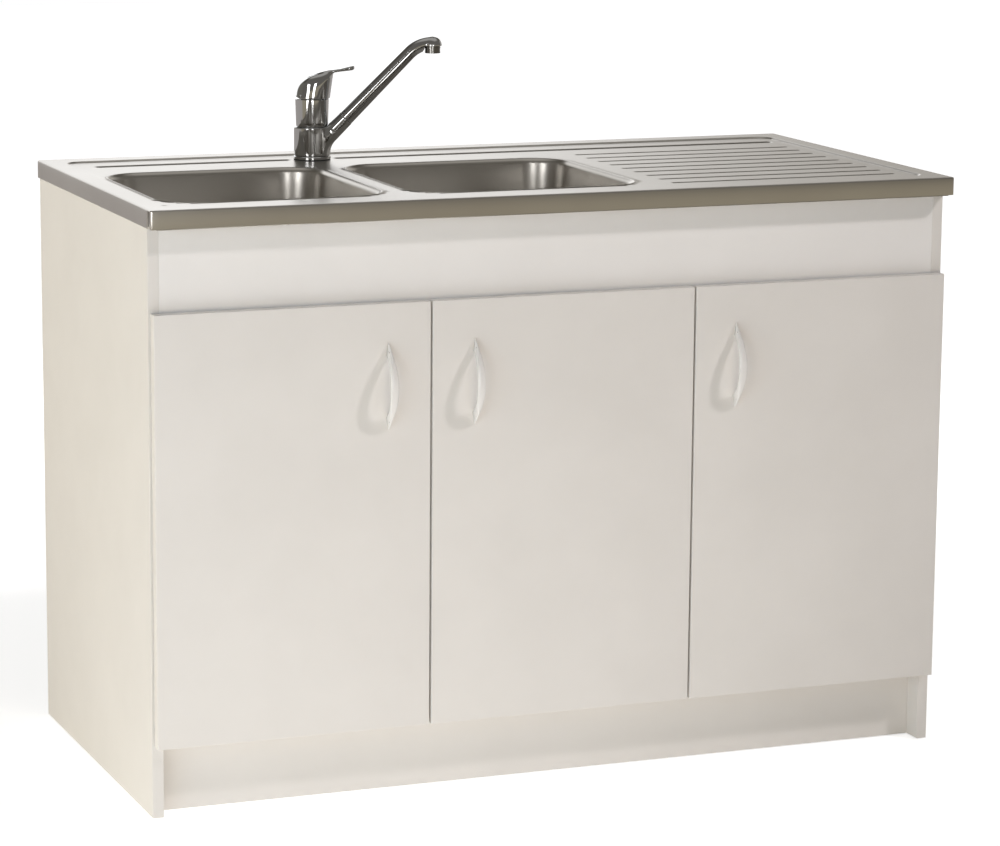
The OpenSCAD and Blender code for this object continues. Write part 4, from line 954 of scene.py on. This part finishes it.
# The floor: as metal sees it, its glow to the camera by distance, and its light on the boards from one spot
FLOOR_HALF = 14
FLOOR_WHITE = (0.85, 0.85, 0.85)
FLOOR_FRONT = (0.40, 0.36, 0.28)
FLOOR_BEHIND = (0.50, 0.47, 0.45)
FLOOR_TURN = (-0.5, 0.8)
GLOW_NEAR = 0.62
GLOW_FAR = 1.0
GLOW_REACH = (1.0, 2.6)
FLOOR_SPOT = (-0.6, -1.2, 0.0)
SPOT_REACH = (1.8, 0.4)
SPOT_LIGHT = 0.86


def room_colour(tree):
    """The room's colour along a ray's direction."""
    place = tree.nodes.new("ShaderNodeTexCoord")
    axes = tree.nodes.new("ShaderNodeSeparateXYZ")
    tree.links.new(place.outputs["Generated"], axes.inputs[0])
    x, y, z = axes.outputs
    wall = mix_colour(tree, fade(tree, x, *WALL_LEFT_END), ROOM_LEFT, ROOM_WHITE)
    wall = mix_colour(tree, fade(tree, x, *WALL_RIGHT_END), wall, ROOM_RIGHT)
    wall = mix_colour(tree, fade(tree, z, *WALL_TOP), wall, ROOM_DARK)
    room = mix_colour(tree, fade(tree, y, *WALL_FOREMOST), ROOM_FRONT, wall)
    return mix_colour(tree, fade(tree, z, *CEILING), room, ROOM_ABOVE)


def make_world():
    """Even soft light, white to the camera; metal sees the room."""
    world = bpy.data.worlds.new("studio")
    bpy.context.scene.world = world
    world.use_nodes = True
    tree = world.node_tree
    background = tree.nodes["Background"]
    plain = ray_is(tree, "Is Camera Ray", "Is Transmission Ray")
    level = mix_colour(tree, plain, grey(AMBIENT), grey(1.0))
    colour = mix_colour(tree, ray_is(tree, "Is Glossy Ray"), level, room_colour(tree))
    tree.links.new(colour, background.inputs["Color"])


def floor_light(tree, place):
    """The floor's own light: a glow that only the camera sees, and a spot that lights the boards."""
    away = tree.nodes.new("ShaderNodeVectorMath")
    away.operation = "LENGTH"
    tree.links.new(place, away.inputs[0])
    glow = fade(tree, away.outputs["Value"], *GLOW_REACH)
    glow = add_math(tree, "MULTIPLY", glow, GLOW_FAR - GLOW_NEAR)
    glow = add_math(tree, "ADD", glow, GLOW_NEAR)
    glow = add_math(tree, "MULTIPLY", glow, ray_is(tree, "Is Camera Ray"))
    from_spot = tree.nodes.new("ShaderNodeVectorMath")
    from_spot.operation = "DISTANCE"
    tree.links.new(place, from_spot.inputs[0])
    from_spot.inputs[1].default_value = FLOOR_SPOT
    spot = add_math(tree, "MULTIPLY", fade(tree, from_spot.outputs["Value"], *SPOT_REACH), SPOT_LIGHT)
    spot = add_math(tree, "MULTIPLY", spot, ray_is(tree, "Is Diffuse Ray"))
    return add_math(tree, "ADD", glow, spot)


def floor_material():
    """White to the camera, with the shadows; dim and warm where metal reflects it."""
    material, tree, principled = new_material("floor_white", Roughness=0.9, Base_Color=(*FLOOR_WHITE, 1))
    principled.inputs["Emission Color"].default_value = (1, 1, 1, 1)
    place = tree.nodes.new("ShaderNodeTexCoord").outputs["Object"]
    tree.links.new(floor_light(tree, place), principled.inputs["Emission Strength"])
    axes = tree.nodes.new("ShaderNodeSeparateXYZ")
    tree.links.new(place, axes.inputs[0])
    dim = tree.nodes.new("ShaderNodeEmission")
    colour = mix_colour(tree, fade(tree, axes.outputs[1], *FLOOR_TURN), FLOOR_FRONT, FLOOR_BEHIND)
    tree.links.new(colour, dim.inputs[0])
    choose = tree.nodes.new("ShaderNodeMixShader")
    tree.links.new(ray_is(tree, "Is Glossy Ray"), choose.inputs[0])
    tree.links.new(principled.outputs[0], choose.inputs[1])
    tree.links.new(dim.outputs[0], choose.inputs[2])
    tree.links.new(choose.outputs[0], tree.nodes["Material Output"].inputs["Surface"])
    return material


def make_floor():
    near, far = -FLOOR_HALF, FLOOR_HALF
    mesh = bpy.data.meshes.new("floor")
    mesh.from_pydata([(near, near, 0), (far, near, 0), (far, far, 0), (near, far, 0)], [], [(0, 1, 2, 3)])
    mesh.materials.append(floor_material())
    floor = bpy.data.objects.new("floor", mesh)
    bpy.context.scene.collection.objects.link(floor)


def make_lamp(name, at, towards, size, power, colour=(1, 1, 1), in_metal=False):
    """A soft lamp, which either lights the boards or shows in metal."""
    data = bpy.data.lights.new(name, "AREA")
    data.shape = "RECTANGLE"
    data.size = size[0]
    data.size_y = size[1]
    data.energy = power
    data.color = colour
    lamp = bpy.data.objects.new(name, data)
    lamp.visible_camera = False
    lamp.visible_glossy = in_metal
    lamp.visible_diffuse = not in_metal
    lamp.location = at
    lamp.rotation_euler = (Vector(towards) - Vector(at)).to_track_quat("-Z", "Y").to_euler()
    bpy.context.scene.collection.objects.link(lamp)


make_world()
make_floor()

# Each lamp's place, what it faces, its size, its watts and its colour
make_lamp("window_left", (-2.4, -1.7, 0.8), (0, 0, 0.5), (0.7, 1.5), 18, in_metal=True)
make_lamp("window_front", (-1.05, -2.9, 0.8), (0, 0, 0.5), (0.6, 1.5), 15, in_metal=True)
make_lamp("soft_left", (-2.7, -2.3, 1.0), (-0.2, -0.2, 0.5), (2.0, 1.8), 23.5, (0.72, 0.87, 1.0))
make_lamp("side_left", (-3.4, 0.2, 0.6), (0, 0, 0.4), (2.0, 1.1), 41, (1.0, 0.89, 0.71))
make_lamp("low_front", (-0.8, -2.75, 0.35), (-0.1, -0.3, 0.4), (2.4, 0.6), 12, (1.0, 0.8, 0.57))
make_lamp("key", (3.16, -2.72, 4.05), (0, -0.28, 0.8), (0.35, 0.35), 84, (1.0, 0.94, 0.94))
make_lamp("fill_right", (3.0, 1.2, 0.9), (0.3, 0.2, 0.4), (1.6, 1.4), 18)
make_lamp("fill_back", (-0.6, 3.2, 1.0), (0, 0, 0.4), (2.4, 1.4), 24)

make_camera()
bpy.context.scene.view_settings.view_transform = "Standard"
